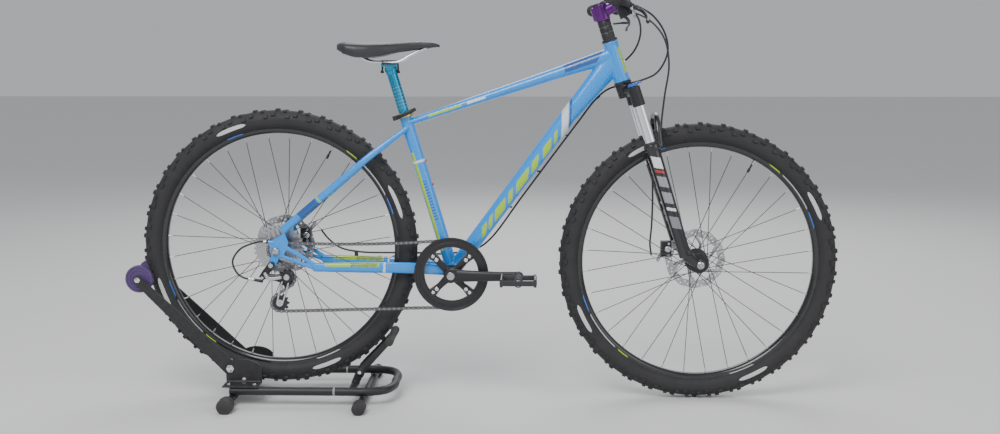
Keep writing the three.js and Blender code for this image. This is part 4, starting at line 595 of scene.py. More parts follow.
# ---------------------------------------------------------------- wheels
@dataclass
class Wheel:
    """One wheel: knobbly tyre, rim, hub with its spokes, and disc rotor. Lengths in millimetres."""

    end: str
    body: str
    centre: np.ndarray
    flanges: tuple[tuple[float, float], tuple[float, float]]
    hub_profile: Route
    rotor_y: float
    marks: Sequence[tuple[float, float, str]]
    tyre_radius: float = 366.0
    casing_high: float = 25.5
    casing_wide: float = 25.4
    knob: float = 4.6
    rim_radius: float = 316.0
    rim_depth: float = 15.0
    rim_half: float = 13.0
    spokes_a_side: int = 16
    rotor_radius: float = 80.0
    rows: int = 76

    def build(self) -> None:
        """Builds every piece of the wheel."""
        self.tyre()
        self.rim()
        self.hub()
        self.rotor()

    def radial(self, angle: float) -> np.ndarray:
        """The direction out from the axle at an angle from ahead, in side view."""
        return np.array([math.cos(angle), 0.0, math.sin(angle)])

    def casing(self, turn: float, lift: float = 0) -> tuple[float, float]:
        """Radius and sideways place on the casing, where turn 0 is the tread's middle and 90 degrees the side wall."""
        middle = self.tyre_radius - self.knob - self.casing_high
        return (middle + (self.casing_high + lift) * math.cos(turn),
            (self.casing_wide + lift) * math.sin(turn))

    def tyre(self) -> None:
        """The casing with its bead and rib, the rows of knobs and the reflecting side patches."""
        turns = np.linspace(-2.62, 2.62, 34)
        outer = [self.casing(t, 0.45 if 1.28 < abs(t) < 1.4 or 1.95 < abs(t) < 2.1 else 0) for t in turns]
        inner = [(r - 2.4 * math.cos(t), y - 2.4 * math.sin(t)) for (r, y), t in zip(outer, turns)]
        skin = Skin().turned([*outer, *reversed(inner)], self.centre, segments=180, ring=True)
        for i in range(self.rows):
            angle = 2 * math.pi * i / self.rows
            step = 2 * math.pi / self.rows
            if i % 2:
                knobs = [(0.2, 9, 12, 0), (-0.2, 9, 12, 0), (0.98, 10, 12, 0.3), (-0.98, 10, 12, 0.3)]
            else:
                knobs = [(0.58, 8.5, 10.5, 0.3), (-0.58, 8.5, 10.5, 0.3), (1.2, 9, 13, 0), (-1.2, 9, 13, 0)]
            for turn, wide, long, skew in knobs:
                self.knob_at(skin, angle + skew * step, turn, wide, long)
        skin.piece(self.end + "_tyre_rubber", Finishes.TYRE_RUBBER, self.body, [self.end + "_tyre"], 32)
        mark = Skin()
        for first, last, form in self.marks:
            for side in (-1, 1):
                self.side_patch(mark, math.radians(first), math.radians(last), side, form)
        mark.piece(self.end + "_tyre_marks", Finishes.TYRE_MARK, self.body)

    def knob_at(self, skin: Skin, angle: float, turn: float, wide: float, long: float) -> None:
        """One tread knob, standing square on the casing."""
        out = self.radial(angle)
        ahead = np.cross(Y_AXIS, out)
        radius, y = self.casing(turn, -1.0)
        normal = unit(out * math.cos(turn) + Y_AXIS * math.sin(turn))
        across = np.cross(normal, ahead)
        height = self.knob + 1.0 - (0.9 if abs(turn) > 1 else 0)
        foot = self.centre + out * radius * MM + Y_AXIS * y * MM
        skin.block(foot + normal * height * MM / 2, (long, wide, height), np.array([ahead, across, normal]),
            0.78)

    def side_patch(self, skin: Skin, first: float, last: float, side: int, form: str) -> None:
        """A thin patch on the side wall: an oval or a square-ended block."""
        columns = 15
        rows = []
        for i in range(columns):
            share = i / (columns - 1)
            swell = math.sqrt(max(1 - (2 * share - 1) ** 4, 0.02)) if form == "oval" else 1.0
            out = self.radial(first + (last - first) * share)
            row = []
            for turn in np.linspace(1.66 - 0.2 * swell, 1.66 + 0.2 * swell, 6):
                radius, y = self.casing(side * turn, 0.35)
                row.append(self.centre + out * radius * MM + Y_AXIS * y * MM)
            rows.append(row)
        skin.grid(np.array(rows), around=False)

    def rim(self) -> None:
        """The box-section rim with its marks, and the valve."""
        out, depth, half = self.rim_radius, self.rim_depth, self.rim_half
        profile = [(out, -half), (out - 5, -half - 0.2), (out - 9, -half + 0.8),
            (out - depth + 1.2, -half + 6), (out - depth, -4),
                   (out - depth, 4), (out - depth + 1.2, half - 6), (out - 9, half - 0.8),
                       (out - 5, half + 0.2), (out, half),
                   (out - 1.5, half - 1.8), (out - 5.5, half - 3), (out - 5.5, -half + 3),
                       (out - 1.5, -half + 1.8)]
        Skin().turned(profile, self.centre, segments=180, ring=True).piece(
            self.end + "_rim_hoop", Finishes.GLOSS_BLACK, self.body, [self.end + "_rim"], 40)
        for name, finish, spans in (("blue", Finishes.BLUE_DETAIL, ((198, 206), (18, 26), (108, 116))),
                                    ("silver", Finishes.SILVER_DETAIL, ((208, 228), (28, 48), (288, 300))),
                                    ("lime", Finishes.LIME_DETAIL, ((230, 236), (50, 56)))):
            band = Skin()
            for first, last in spans:
                for side in (-1, 1):
                    self.rim_mark(band, math.radians(first), math.radians(last), side)
            band.piece(f"{self.end}_rim_{name}_marks", finish, self.body)
        valve_angle = math.radians(62)
        base = self.centre + self.radial(valve_angle) * (out - depth + 1) * MM
        valve = Skin().rod(base, base - self.radial(valve_angle) * 26 * MM, 2.6, 2.4)
        valve.rod(base - self.radial(valve_angle) * 25 * MM, base - self.radial(valve_angle) * 36 * MM, 3.6,
            3.2)
        valve.piece(self.end + "_valve", Finishes.BLACK_PLASTIC, self.body)

    def rim_mark(self, skin: Skin, first: float, last: float, side: int) -> None:
        """A slanted colour block on the rim's side."""
        rows = []
        for angle in np.linspace(first, last, 12):
            row = []
            for radius in (self.rim_radius - 4.6, self.rim_radius - 1.6):
                lean = (radius - self.rim_radius) * 0.006
                row.append(
                    self.centre + self.radial(angle + lean) * radius * MM + Y_AXIS * side * (
                        self.rim_half + 0.32) * MM)
            rows.append(row)
        skin.grid(np.array(rows), around=False)

    def hub(self) -> None:
        """The turned hub, and laced spokes with their heads and nipples."""
        Skin().turned(self.hub_profile, self.centre, segments=48).piece(
            self.end + "_hub_shell", Finishes.SATIN_BLACK, self.body, [self.end + "_hub"], 30)
        spokes, nipples = Skin(), Skin()
        step = 2 * math.pi / self.spokes_a_side
        for side, (radius, flange_y) in zip((-1, 1), self.flanges):
            for i in range(self.spokes_a_side):
                way = 1 if i % 2 else -1
                rim_angle = i * step + (step / 4 if side > 0 else -step / 4)
                hub_angle = rim_angle + way * 1.15
                face = flange_y + way * 2.2
                foot = self.centre + self.radial(hub_angle) * radius * MM + Y_AXIS * face * MM
                tip = self.centre + self.radial(rim_angle) * (
                    self.rim_radius - self.rim_depth + 0.5) * MM + Y_AXIS * side * 2.5 * MM
                spokes.rod(foot, tip, 0.95, sides=8, chamfer=0.1)
                spokes.turned([(0, -2.8), (1.7, -2.2), (1.9, 0), (1.2, 1.4), (0, 1.6)], foot, Y_AXIS * way,
                    10)
                nipples.rod(tip, tip + unit(foot - tip) * 12 * MM, 2.0, 1.6, sides=8, chamfer=0.3)
        spokes.piece(self.end + "_spokes", Finishes.SATIN_BLACK, self.body)
        nipples.piece(self.end + "_nipples", Finishes.SILVER_DETAIL, self.body)

    def rotor(self) -> None:
        """The disc rotor: a drilled band on swept arms, bolted to the hub."""
        band_low, arms, thick = 60.0, 6, 1.8
        y = self.rotor_y
        place = off(self.centre, y=y)
        skin = Skin()
        lobes = 6
        steps = 144
        angles = np.arange(steps) * 2 * np.pi / steps
        outer = [self.rotor_radius - 1.2 + 1.2 * math.cos(lobes * 2 * a) for a in angles]
        inner = [band_low + 1.5 * math.cos(lobes * 2 * a) for a in angles]
        rows = []
        for radii, height in ((outer, -0.5), (outer, 0.5), (inner, 0.5), (inner, -0.5)):
            rows.append([place + self.radial(a) * r * MM + Y_AXIS * height * thick * MM for a,
                r in zip(angles, radii)])
        skin.grid(np.array(rows), closed=True)
        drills = Skin()
        for i in range(48):
            a = 2 * math.pi * i / 48
            radius = 66 + (i % 3) * 4.2
            drills.rod(place + self.radial(a) * radius * MM - Y_AXIS * 4 * MM,
                place + self.radial(a) * radius * MM + Y_AXIS * 4 * MM, 2.5,
                       sides=10, chamfer=0)
        holder = bpy.data.objects.new("drills", drills.mesh("drills"))
        bpy.context.scene.collection.objects.link(holder)
        drilled = bpy.data.objects.new("drilled", skin.mesh("drilled"))
        bpy.context.scene.collection.objects.link(drilled)
        cut = drilled.modifiers.new("cut", "BOOLEAN")
        cut.operation = "DIFFERENCE"
        cut.object = holder
        cut.solver = "EXACT"
        shape = bpy.data.meshes.new_from_object(drilled.evaluated_get(bpy.context.evaluated_depsgraph_get()))
        bpy.data.objects.remove(holder)
        bpy.data.objects.remove(drilled)
        dress(bpy.data.objects.new(self.end + "_rotor_band", shape), Finishes.STEEL, self.body,
            [self.end + "_rotor"], 30)
        arm = Skin()
        for i in range(arms):
            a = 2 * math.pi * i / arms
            route = [place + self.radial(a) * 20 * MM, place + self.radial(a + 0.2) * 42 * MM,
                place + self.radial(a + 0.52) * (band_low + 2) * MM]
            arm.sweep(route, thick / 2, [5.0, 3.6, 4.2], sides=12, steps=8,
                level=np.cross(Y_AXIS, self.radial(a)))
            bolt_at = off(place + self.radial(a + 0.3) * 23 * MM, y=0.6)
            hex_bolt(arm, bolt_at, Y_AXIS, 3.4, 2.6)
        arm.turned([(17.2, -0.9), (28, -0.9), (28, 0.9), (17.2, 0.9)], place, segments=48, ring=True)
        arm.piece(self.end + "_rotor_arms", Finishes.STEEL, self.body)


def rear_wheel() -> Wheel:
    """The driven wheel."""
    profile = [(0, -66.5), (7, -66.5), (7, -24), (18, -24), (19.5, -23), (28, -21), (28, -17), (19, -14),
        (16, -8), (15, 4), (16, 24),
               (21, 30), (32, 32), (32, 36), (22, 39), (15.5, 42), (15.5, 54), (7, 55), (7, 66.5), (0, 66.5)]
    marks = [(14, 30, "oval"), (104, 118, "oval"), (194, 208, "oval"), (284, 298, "oval"),
        (227, 232, "block"), (234, 240, "block"),
             (242, 246, "block"), (248, 255, "block")]
    return Wheel("rear", "rear_wheel", REAR_WHEEL, ((24, -19), (28, 34)), profile, 52.0, marks)


def front_wheel() -> Wheel:
    """The steered wheel."""
    profile = [(0, -49), (8, -49), (9, -44), (12, -37), (26, -35), (26, -31), (15, -28), (13, -22),
        (12.5, -6), (13, 12), (20, 17),
               (31, 20), (31, 24), (22, 27), (15.5, 30), (15.5, 41.5), (8, 43), (8, 49), (0, 49)]
    marks = [(20, 34, "oval"), (110, 124, "oval"), (200, 214, "oval"), (290, 304, "oval")]
    return Wheel("front", "front_wheel", FRONT_WHEEL, ((22, -33), (27, 22)), profile, 39.5, marks)


# ---------------------------------------------------------------- frame
@dataclass
class FrameSet:
    """The welded frame with its painted panels, cups, ports and bolts. Lengths in millimetres."""

    seat_tube: float = 432.0
    head: float = 104.0
    dropout_y: float = 70.5
    shell_half: float = 36.5
    body: str = "frame"
    nodes: Sequence[str] = ("head_tube", "top_tube", "down_tube", "seat_tube", "right_chainstay",
        "left_chainstay", "seatstays")

    def __post_init__(self) -> None:
        """Works out where the tubes start and end."""
        self.top_start = on_seat(self.seat_tube - 25)
        self.top_end = on_steer(self.head - 33)
        self.down_aim = on_steer(self.head * 0.67)
        self.down_end = on_steer(self.head * 0.57)
        self.knee = at(236, -50, 638)
        self.stay_top = on_seat(self.seat_tube - 36, 0, -13)
        self.stay_foot = at(17, -self.dropout_y + 3, 452)

    def build(self) -> None:
        """Builds the frame and everything fixed to it."""
        self.tubes()
        self.fittings()

    def tubes(self) -> None:
        """All the tubes and both dropouts as one welded and painted skin."""
        main = Skin()
        main.rod(on_steer(0), on_steer(self.head), 20.5, 18.5, sides=48)
        main.rod(on_steer(-2), on_steer(7), 22.2, 21.4, sides=48)
        main.rod(on_steer(self.head - 7), on_steer(self.head + 1), 20, 20.4, sides=48)
        main.rod(BOTTOM_BRACKET, on_seat(self.seat_tube), 16.5, sides=48)
        main.rod(off(BOTTOM_BRACKET, y=-self.shell_half), off(BOTTOM_BRACKET, y=self.shell_half), 21,
            sides=48)
        swell = mix(BOTTOM_BRACKET, self.down_aim, 0.72)
        main.sweep([BOTTOM_BRACKET, mix(BOTTOM_BRACKET, swell, 0.5), swell, mix(swell, self.down_end, 0.55),
            self.down_end],
                   [19.5, 20.5, 21.5, 26.5, 31], [19.4, 20, 20.4, 19.5, 17.2], sides=40, steps=24)
        high = mix(self.top_start, self.top_end, 0.72)
        main.sweep([self.top_start, mix(self.top_start, high, 0.5), high, self.top_end], [9, 11.5, 15, 20.5],
            16.6, sides=40, steps=20)
        stays = Skin()
        stays.sweep([off(BOTTOM_BRACKET, -8, -30, 6), at(345, -38.5, 351.6), at(225, -50, 354.1),
            at(96, -66.5, 357.2)],
                    [14, 15, 14, 11.5], [7.5, 6, 8, 6.5], steps=20)
        stays.sweep([self.stay_foot, mix(self.stay_foot, self.knee, 0.85),
            mix(self.knee, self.stay_top, 0.12), self.stay_top],
                    [10.5, 9.2, 9, 7], [7.5, 7, 7, 8], steps=26)
        face = [at(*corner) for corner in ((-17, -73, 424), (-12, -73, 386), (-20, -73, 374),
            (-14, -73, 358), (-2, -73, 358), (10, -73, 384),
                                           (24, -73, 394), (34, -73, 422), (24, -73, 448), (10, -73, 440))]
        stays.plate(face, Y_AXIS * 5 * MM)
        stays.sweep([at(20, -self.dropout_y, 414), at(100, -67.5, 364)], 6, 2.6, sides=16)
        stays.sweep([at(6, -self.dropout_y, 390), at(104, -67.5, 353)], 5.5, 2.6, sides=16)
        stays.rod(at(-4, -self.dropout_y, 422), at(-21, -self.dropout_y, 424.3), 4.5, 4)
        stays.mirror()
        bridge = mix(self.knee, self.stay_top, 0.42)
        stays.rod(bridge, bridge * np.array([1, -1, 1]), 6)
        main.add(np.concatenate(stays.corners), stays.faces)
        port = Skin()
        port.rod(on_steer(38, 8, 14), on_steer(42.5, 14.3, 25.8), 4.2, 3.8)
        main.add(np.concatenate(port.corners), port.faces)
        main.fused("welded_frame", Finishes.FRAME_PAINT, self.body, self.nodes, 1.6, 5, self.paint)

    def paint(self, corners: np.ndarray) -> np.ndarray:
        """The sky-blue coat with lime, navy and black panels laid along the tubes.

        Args:
            corners: places on the skin, one a row, in metres.

        Returns:
            A colour for each place.
        """
        colours = np.tile(np.array(SKY), (len(corners), 1))

        def along(a: np.ndarray, b: np.ndarray, reach: float) -> tuple[np.ndarray, np.ndarray, np.ndarray]:
            """Distance along a line, height above it, and which corners are near it."""
            line = (b - a) * np.array([1, 0, 1])
            length = np.linalg.norm(line)
            rel = (corners - a) * np.array([1, 0, 1])
            t = rel @ (line / length) / MM
            up = rel @ np.array([-line[2], 0, line[0]]) / length / MM
            near = (np.abs(up) < reach) & (t > 0) & (t < length / MM)
            return t, up, near

        def lay(mask: np.ndarray, colour: Colour, share: float = 1.0) -> None:
            """Lays a colour over the corners in a mask."""
            colours[mask] = colours[mask] * (1 - share) + np.array(colour) * share

        t, up, near = along(BOTTOM_BRACKET, self.down_end, 34)
        near &= np.abs(corners[:, 1]) < 22 * MM
        slant = t - up * 1.4
        for first, last in ((130, 150), (160, 176), (186, 230), (244, 262), (278, 330), (344, 372),
            (392, 426), (440, 452)):
            lay(near & (slant > first) & (slant < last) & (np.abs(up) < 9.5), LIME)
        lay(near & (slant > 470) & (slant < 500), WHITE, 0.9)
        lay(near & (slant > 505) & (slant < 512), NAVY)
        lay(near & (t < 90) & (up < -4), NAVY)
        t, up, near = along(self.top_start, self.top_end, 24)
        near &= np.abs(corners[:, 1]) < 20 * MM
        lay(near & (t > 60) & (t < 150) & (np.abs(up) < 3.2), LIME)
        lay(near & (t > 165) & (t < 215) & (np.abs(up) < 3.2), WHITE)
        lay(near & (t > 430) & (t - up < 520) & (up > -5) & (np.abs(corners[:, 1]) > 7 * MM), NAVY)
        t, up, near = along(BOTTOM_BRACKET, on_seat(self.seat_tube), 18)
        near &= np.abs(corners[:, 1]) < 18 * MM
        lay(near & (t > 60) & (t < 330) & (up > 5) & (up < 13), LIME)
        band = near & (t > 140) & (t < 250) & (np.abs(up) < 5)
        lay(band & (np.mod(t, 8) < 3.2), NAVY)
        lay(near & (t > 300) & (t < 306), WHITE)
        t, up, near = along(at(96, 0, 357.2), at(345, 0, 351.6), 17)
        near &= (np.abs(corners[:, 1]) > 30 * MM) & (corners[:, 2] < 0.39)
        lay(near & (t > 30) & (t < 170) & (up > 3), LIME)
        lay(near & (t > 95) & (t < 165) & (up > 3) & (np.mod(t + up, 6) < 2.6), INK)
        lay(near & (t > 180) & (t < 186), WHITE)
        t, up, near = along(self.stay_foot, self.knee, 12)
        near &= np.abs(corners[:, 1]) > 30 * MM
        lay(near & (t > 60) & (t < 120), NAVY)
        lay(near & (t > 124) & (t < 128), LIME)
        head = np.abs((corners - on_steer(self.head / 2)) @ STEER_UP) / MM
        front = (corners - on_steer(self.head / 2)) @ STEER_FORWARD / MM
        lay((front > 12) & (head < 34), LIME)
        lay((front > 16) & (head < 26) & (np.mod(head, 9) < 2), NAVY)
        return colours

    def fittings(self) -> None:
        """Headset and bracket cups, bolts, guides and the dropout's end cap."""
        cups = Skin()
        cups.turned([(15.2, -9), (21.6, -9), (22.4, -7.5), (22.4, -2.5), (21, -1.6), (15.2, -1.6)],
            HEAD_BOTTOM, STEER_UP, 56, True)
        cups.turned([(15.2, 1.5), (20.2, 1.5), (20.6, 3), (19.6, 7.5), (17.6, 9), (15.2, 9)],
            on_steer(self.head), STEER_UP, 56, True)
        cups.piece("headset_cups", Finishes.SATIN_BLACK, self.body)
        bracket = Skin()
        for way in (-1, 1):
            bracket.turned([(12.2, 33), (21.4, 36.6), (22.4, 37.6), (22.2, 40.4), (19.8, 41), (12.2, 41)],
                BOTTOM_BRACKET, Y_AXIS * way, 48, True)
        bracket.piece("bracket_cups", Finishes.SATIN_BLACK, self.body)
        bolts = Skin()
        bridge = mix(self.knee, self.stay_top, 0.42)
        hex_bolt(bolts, off(bridge, y=-4) + np.array([-0.006, 0.045, 0.001]), np.array([-1.0, 0, 0.2]), 4.2,
            4)
        hex_bolt(bolts, on_seat(300, 16, 0), SEAT_FORWARD, 3.6, 3)
        hex_bolt(bolts, on_seat(236, 16, 0), SEAT_FORWARD, 3.6, 3)
        bolts.piece("frame_bolts", Finishes.RED_ANODISED, self.body)
        ports = Skin()
        ports.turned([(2.8, -1.5), (4.6, -1.5), (4.6, 0), (3.8, 1.2), (2.8, 1.2)],
            on_steer(42.5, 14.3, 25.8), np.array([0.2, 0.9, -0.2]), 24, True)
        ports.turned([(2.8, -2), (4.8, -2), (4.8, 1), (4, 2.4), (2.8, 2.4)], at(-21.5, -70.5, 424.4),
            np.array([-1.0, 0, 0.15]), 24, True)
        for share in (0.28, 0.52, 0.76):
            spot = mix(at(520, 18, 396), at(829, 12, 791), share)
            ports.block(off(spot, 0, -1.5, 0), (9, 9, 3.4))
        for x, y, z in ((300, 47, 372), (190, 56, 373)):
            ports.block(at(x, y, z), (9, 7, 10))
        ports.piece("cable_ports_and_guides", Finishes.BLACK_PLASTIC, self.body)


@dataclass
class Seat:
    """The post, its clamp, the saddle and the quick-release collar. Lengths in millimetres."""

    tube: float = 432.0
    shown: float = 128.0
    length: float = 266.0
    width: float = 144.0
    setback: float = 135.0
    rise: float = 64.0

    def __post_init__(self) -> None:
        """Works out the places along the post."""
        self.rail_clamp = on_seat(self.tube + self.shown)
        self.tail = off(self.rail_clamp, -self.setback, 0, 0)
        self.top = off(self.rail_clamp, z=self.rise)[2]

    def build(self) -> None:
        """Builds the post, clamp, saddle and collar."""
        post = Skin().rod(on_seat(self.tube - 108), on_seat(self.tube + self.shown - 6), 13.6, sides=48)
        post.piece("seat_post_tube", Finishes.TEAL, "seat", ["seat_post"])
        ring = Skin()
        for i in range(7):
            ring.turned([(13.55, 0), (13.78, 0), (13.78, 0.5), (13.55, 0.5)],
                on_seat(self.tube + 16 + 9 * i), SEAT_UP, 40, True)
        ring.piece("post_marks", Finishes.SILVER_DETAIL, "seat")
        head = Skin().sweep([on_seat(self.tube + self.shown - 22), on_seat(self.tube + self.shown - 8),
            off(self.rail_clamp, 0, 0, 0)],
                            [14.2, 16, 15], sides=32)
        head.rod(off(self.rail_clamp, 0, -18, -3), off(self.rail_clamp, 0, 18, -3), 9.5)
        head.block(off(self.rail_clamp, z=2.5), (42, 36, 8))
        head.fused("post_head", Finishes.TEAL, "seat", voxel=0.9, rounds=4)
        clamp = Skin()
        for x in (-20, 22):
            clamp.rod(off(self.rail_clamp, x, 0, -16), off(self.rail_clamp, x * 0.92, 0, 13), 2.6)
            clamp.rod(off(self.rail_clamp, x, 0, -18), off(self.rail_clamp, x, 0, -12), 4.4)
        for y in (-22, 22):
            clamp.block(off(self.rail_clamp, 0, y * 0.93, 7), (36, 10, 6))
        clamp.block(off(self.rail_clamp, 0, 0, 13), (46, 40, 4), taper=0.9)
        clamp.piece("rail_clamp", Finishes.SATIN_BLACK, "seat")
        self.saddle()
        self.collar()

    def outline(self, share: float) -> tuple[float, float, float]:
        """Half width, top height above the clamp's datum and skirt depth of the saddle at a share of its length."""
        shares = [0, 0.03, 0.1, 0.2, 0.32, 0.45, 0.58, 0.7, 0.82, 0.92, 0.975, 1]
        width = np.interp(share, shares,
            [0.42, 0.66, 0.93, 1.0, 0.95, 0.78, 0.54, 0.38, 0.3, 0.27, 0.2, 0.08]) * self.width / 2
        top = np.interp(share, shares, [-9, -4, -1.5, -2, -3, -3, -2, -0.8, -0.2, -1.5, -5, -11])
        skirt = np.interp(share, shares, [12, 20, 34, 42, 42, 36, 27, 21, 18, 15, 9, 4])
        return float(width), float(top), float(skirt)

    def saddle(self) -> None:
        """The padded cover with its channel and seams, the shell beneath, and the rails."""
        columns, around = 48, 34
        rows = []
        for i in range(columns):
            share = 1 - (1 - i / (columns - 1)) ** 1.15 if i else 0.0
            share = min(max(share, 0.004), 0.996)
            width, top, skirt = self.outline(share)
            x = self.tail[0] / MM + share * self.length
            row = []
            for j in range(around):
                turn = math.pi * j / (around - 1)
                side = -math.cos(turn)
                crown = abs(math.sin(turn)) ** (0.42 if share > 0.5 else 0.34)
                channel = 3.2 * math.exp(-((side * width) / 7.5) ** 2) * math.sin(
                    math.pi * min(max((share - 0.12) / 0.62, 0), 1))
                y = width * math.copysign(abs(side) ** 0.82, side)
                z = self.top / MM + top - skirt * (1 - crown) - channel
                row.append(np.array([x, y, z]) * MM)
            for j in range(around - 2, 0, -4):
                y, z = row[j][1] * 0.9, self.top + (top - skirt * 0.88 - 2) * MM
                row.append(np.array([x * MM, y, min(z, row[j][2] - 0.002)]))
            rows.append(row)
        cover = Skin().grid(np.array(rows))
        cushion = cover.piece("saddle_cover", Finishes.SADDLE_SKIN, "seat", ["saddle"], 60)
        self.swell(cushion)
        for side in (-1, 1):
            self.seam(side)
        base = Skin()
        base.sweep([off(self.tail, 16, 0, 40), off(self.tail, 70, 0, 33), off(self.tail, 150, 0, 42),
            off(self.tail, 240, 0, 52)],
                   [9, 10, 8, 6], [38, 50, 24, 12], sides=28, steps=18)
        base.piece("saddle_shell", Finishes.BLACK_PLASTIC, "seat")
        rails = Skin()
        for side in (-1, 1):
            route = [off(self.tail, 52, side * 27, 30), off(self.tail, 84, side * 25, 13),
                off(self.tail, 112, side * 22, 10.5),
                     off(self.tail, 160, side * 22, 11.5), off(self.tail, 192, side * 17, 29),
                         off(self.tail, 230, side * 9, 47)]
            rails.sweep(route, 3.5, sides=16, steps=30)
        rails.piece("saddle_rails", Finishes.CHROME, "seat")

    def swell(self, cushion: bpy.types.Object) -> None:
        """Rounds the cover with one subdivision, which is applied."""
        soften = cushion.modifiers.new("soften", "SUBSURF")
        soften.levels = 1
        soften.render_levels = 1
        shape = bpy.data.meshes.new_from_object(cushion.evaluated_get(bpy.context.evaluated_depsgraph_get()))
        cushion.modifiers.clear()
        cushion.data = shape

    def seam(self, side: int) -> None:
        """A row of stitches along one side of the cover."""
        thread = Skin()
        for i in range(46):
            share = 0.07 + 0.86 * i / 46
            ends = []
            for s in (share, share + 0.011):
                width, top, skirt = self.outline(s)
                turn = 0.55
                spread = width * abs(math.cos(turn)) ** 0.82
                z = self.top / MM + top - skirt * (1 - math.sin(turn) ** (0.42 if s > 0.5 else 0.34)) + 0.35
                ends.append(np.array([self.tail[0] / MM + s * self.length, side * spread, z]) * MM)
            thread.rod(ends[0], ends[1], 0.55, sides=6, chamfer=0.1)
        name = "left" if side > 0 else "right"
        thread.piece(name + "_saddle_stitches", Finishes.SADDLE_THREAD, "seat")

    def collar(self) -> None:
        """The gold collar with its barrel, and the black quick-release lever."""
        low = on_seat(self.tube - 10)
        collar = Skin().turned([(17, 0), (20.6, 0), (21.5, 1), (21.5, 12), (20.6, 13), (14.2, 13.2),
            (14.2, 12.4), (17, 10.4)], low, SEAT_UP, 48, True)
        barrel_up = self.tube - 4
        collar.rod(on_seat(barrel_up, -23, -12), on_seat(barrel_up, -23, 12), 5.4)
        collar.rod(on_seat(barrel_up, -23, 12), on_seat(barrel_up, -23, 19), 6.2)
        collar.piece("clamp_collar", Finishes.GOLD, "frame", ["seat_clamp"])
        lever = Skin().rod(on_seat(self.tube - 10, -24.5, -18.8), on_seat(self.tube + 2, -24.5, -18.8), 6.5)
        lever.sweep([on_seat(self.tube - 4, -24.5, -18.8), on_seat(self.tube - 3, -7.5, -27),
            on_seat(self.tube + 1, 19.5, -29),
                     on_seat(self.tube + 4, 33.5, -22)], [4.4, 4, 5.2, 4], [2.6, 2.4, 2.2, 1.8], sides=20,
                         steps=20)
        lever.piece("clamp_lever", Finishes.SATIN_BLACK, "seat_clamp_lever", ["seat_clamp_lever"])


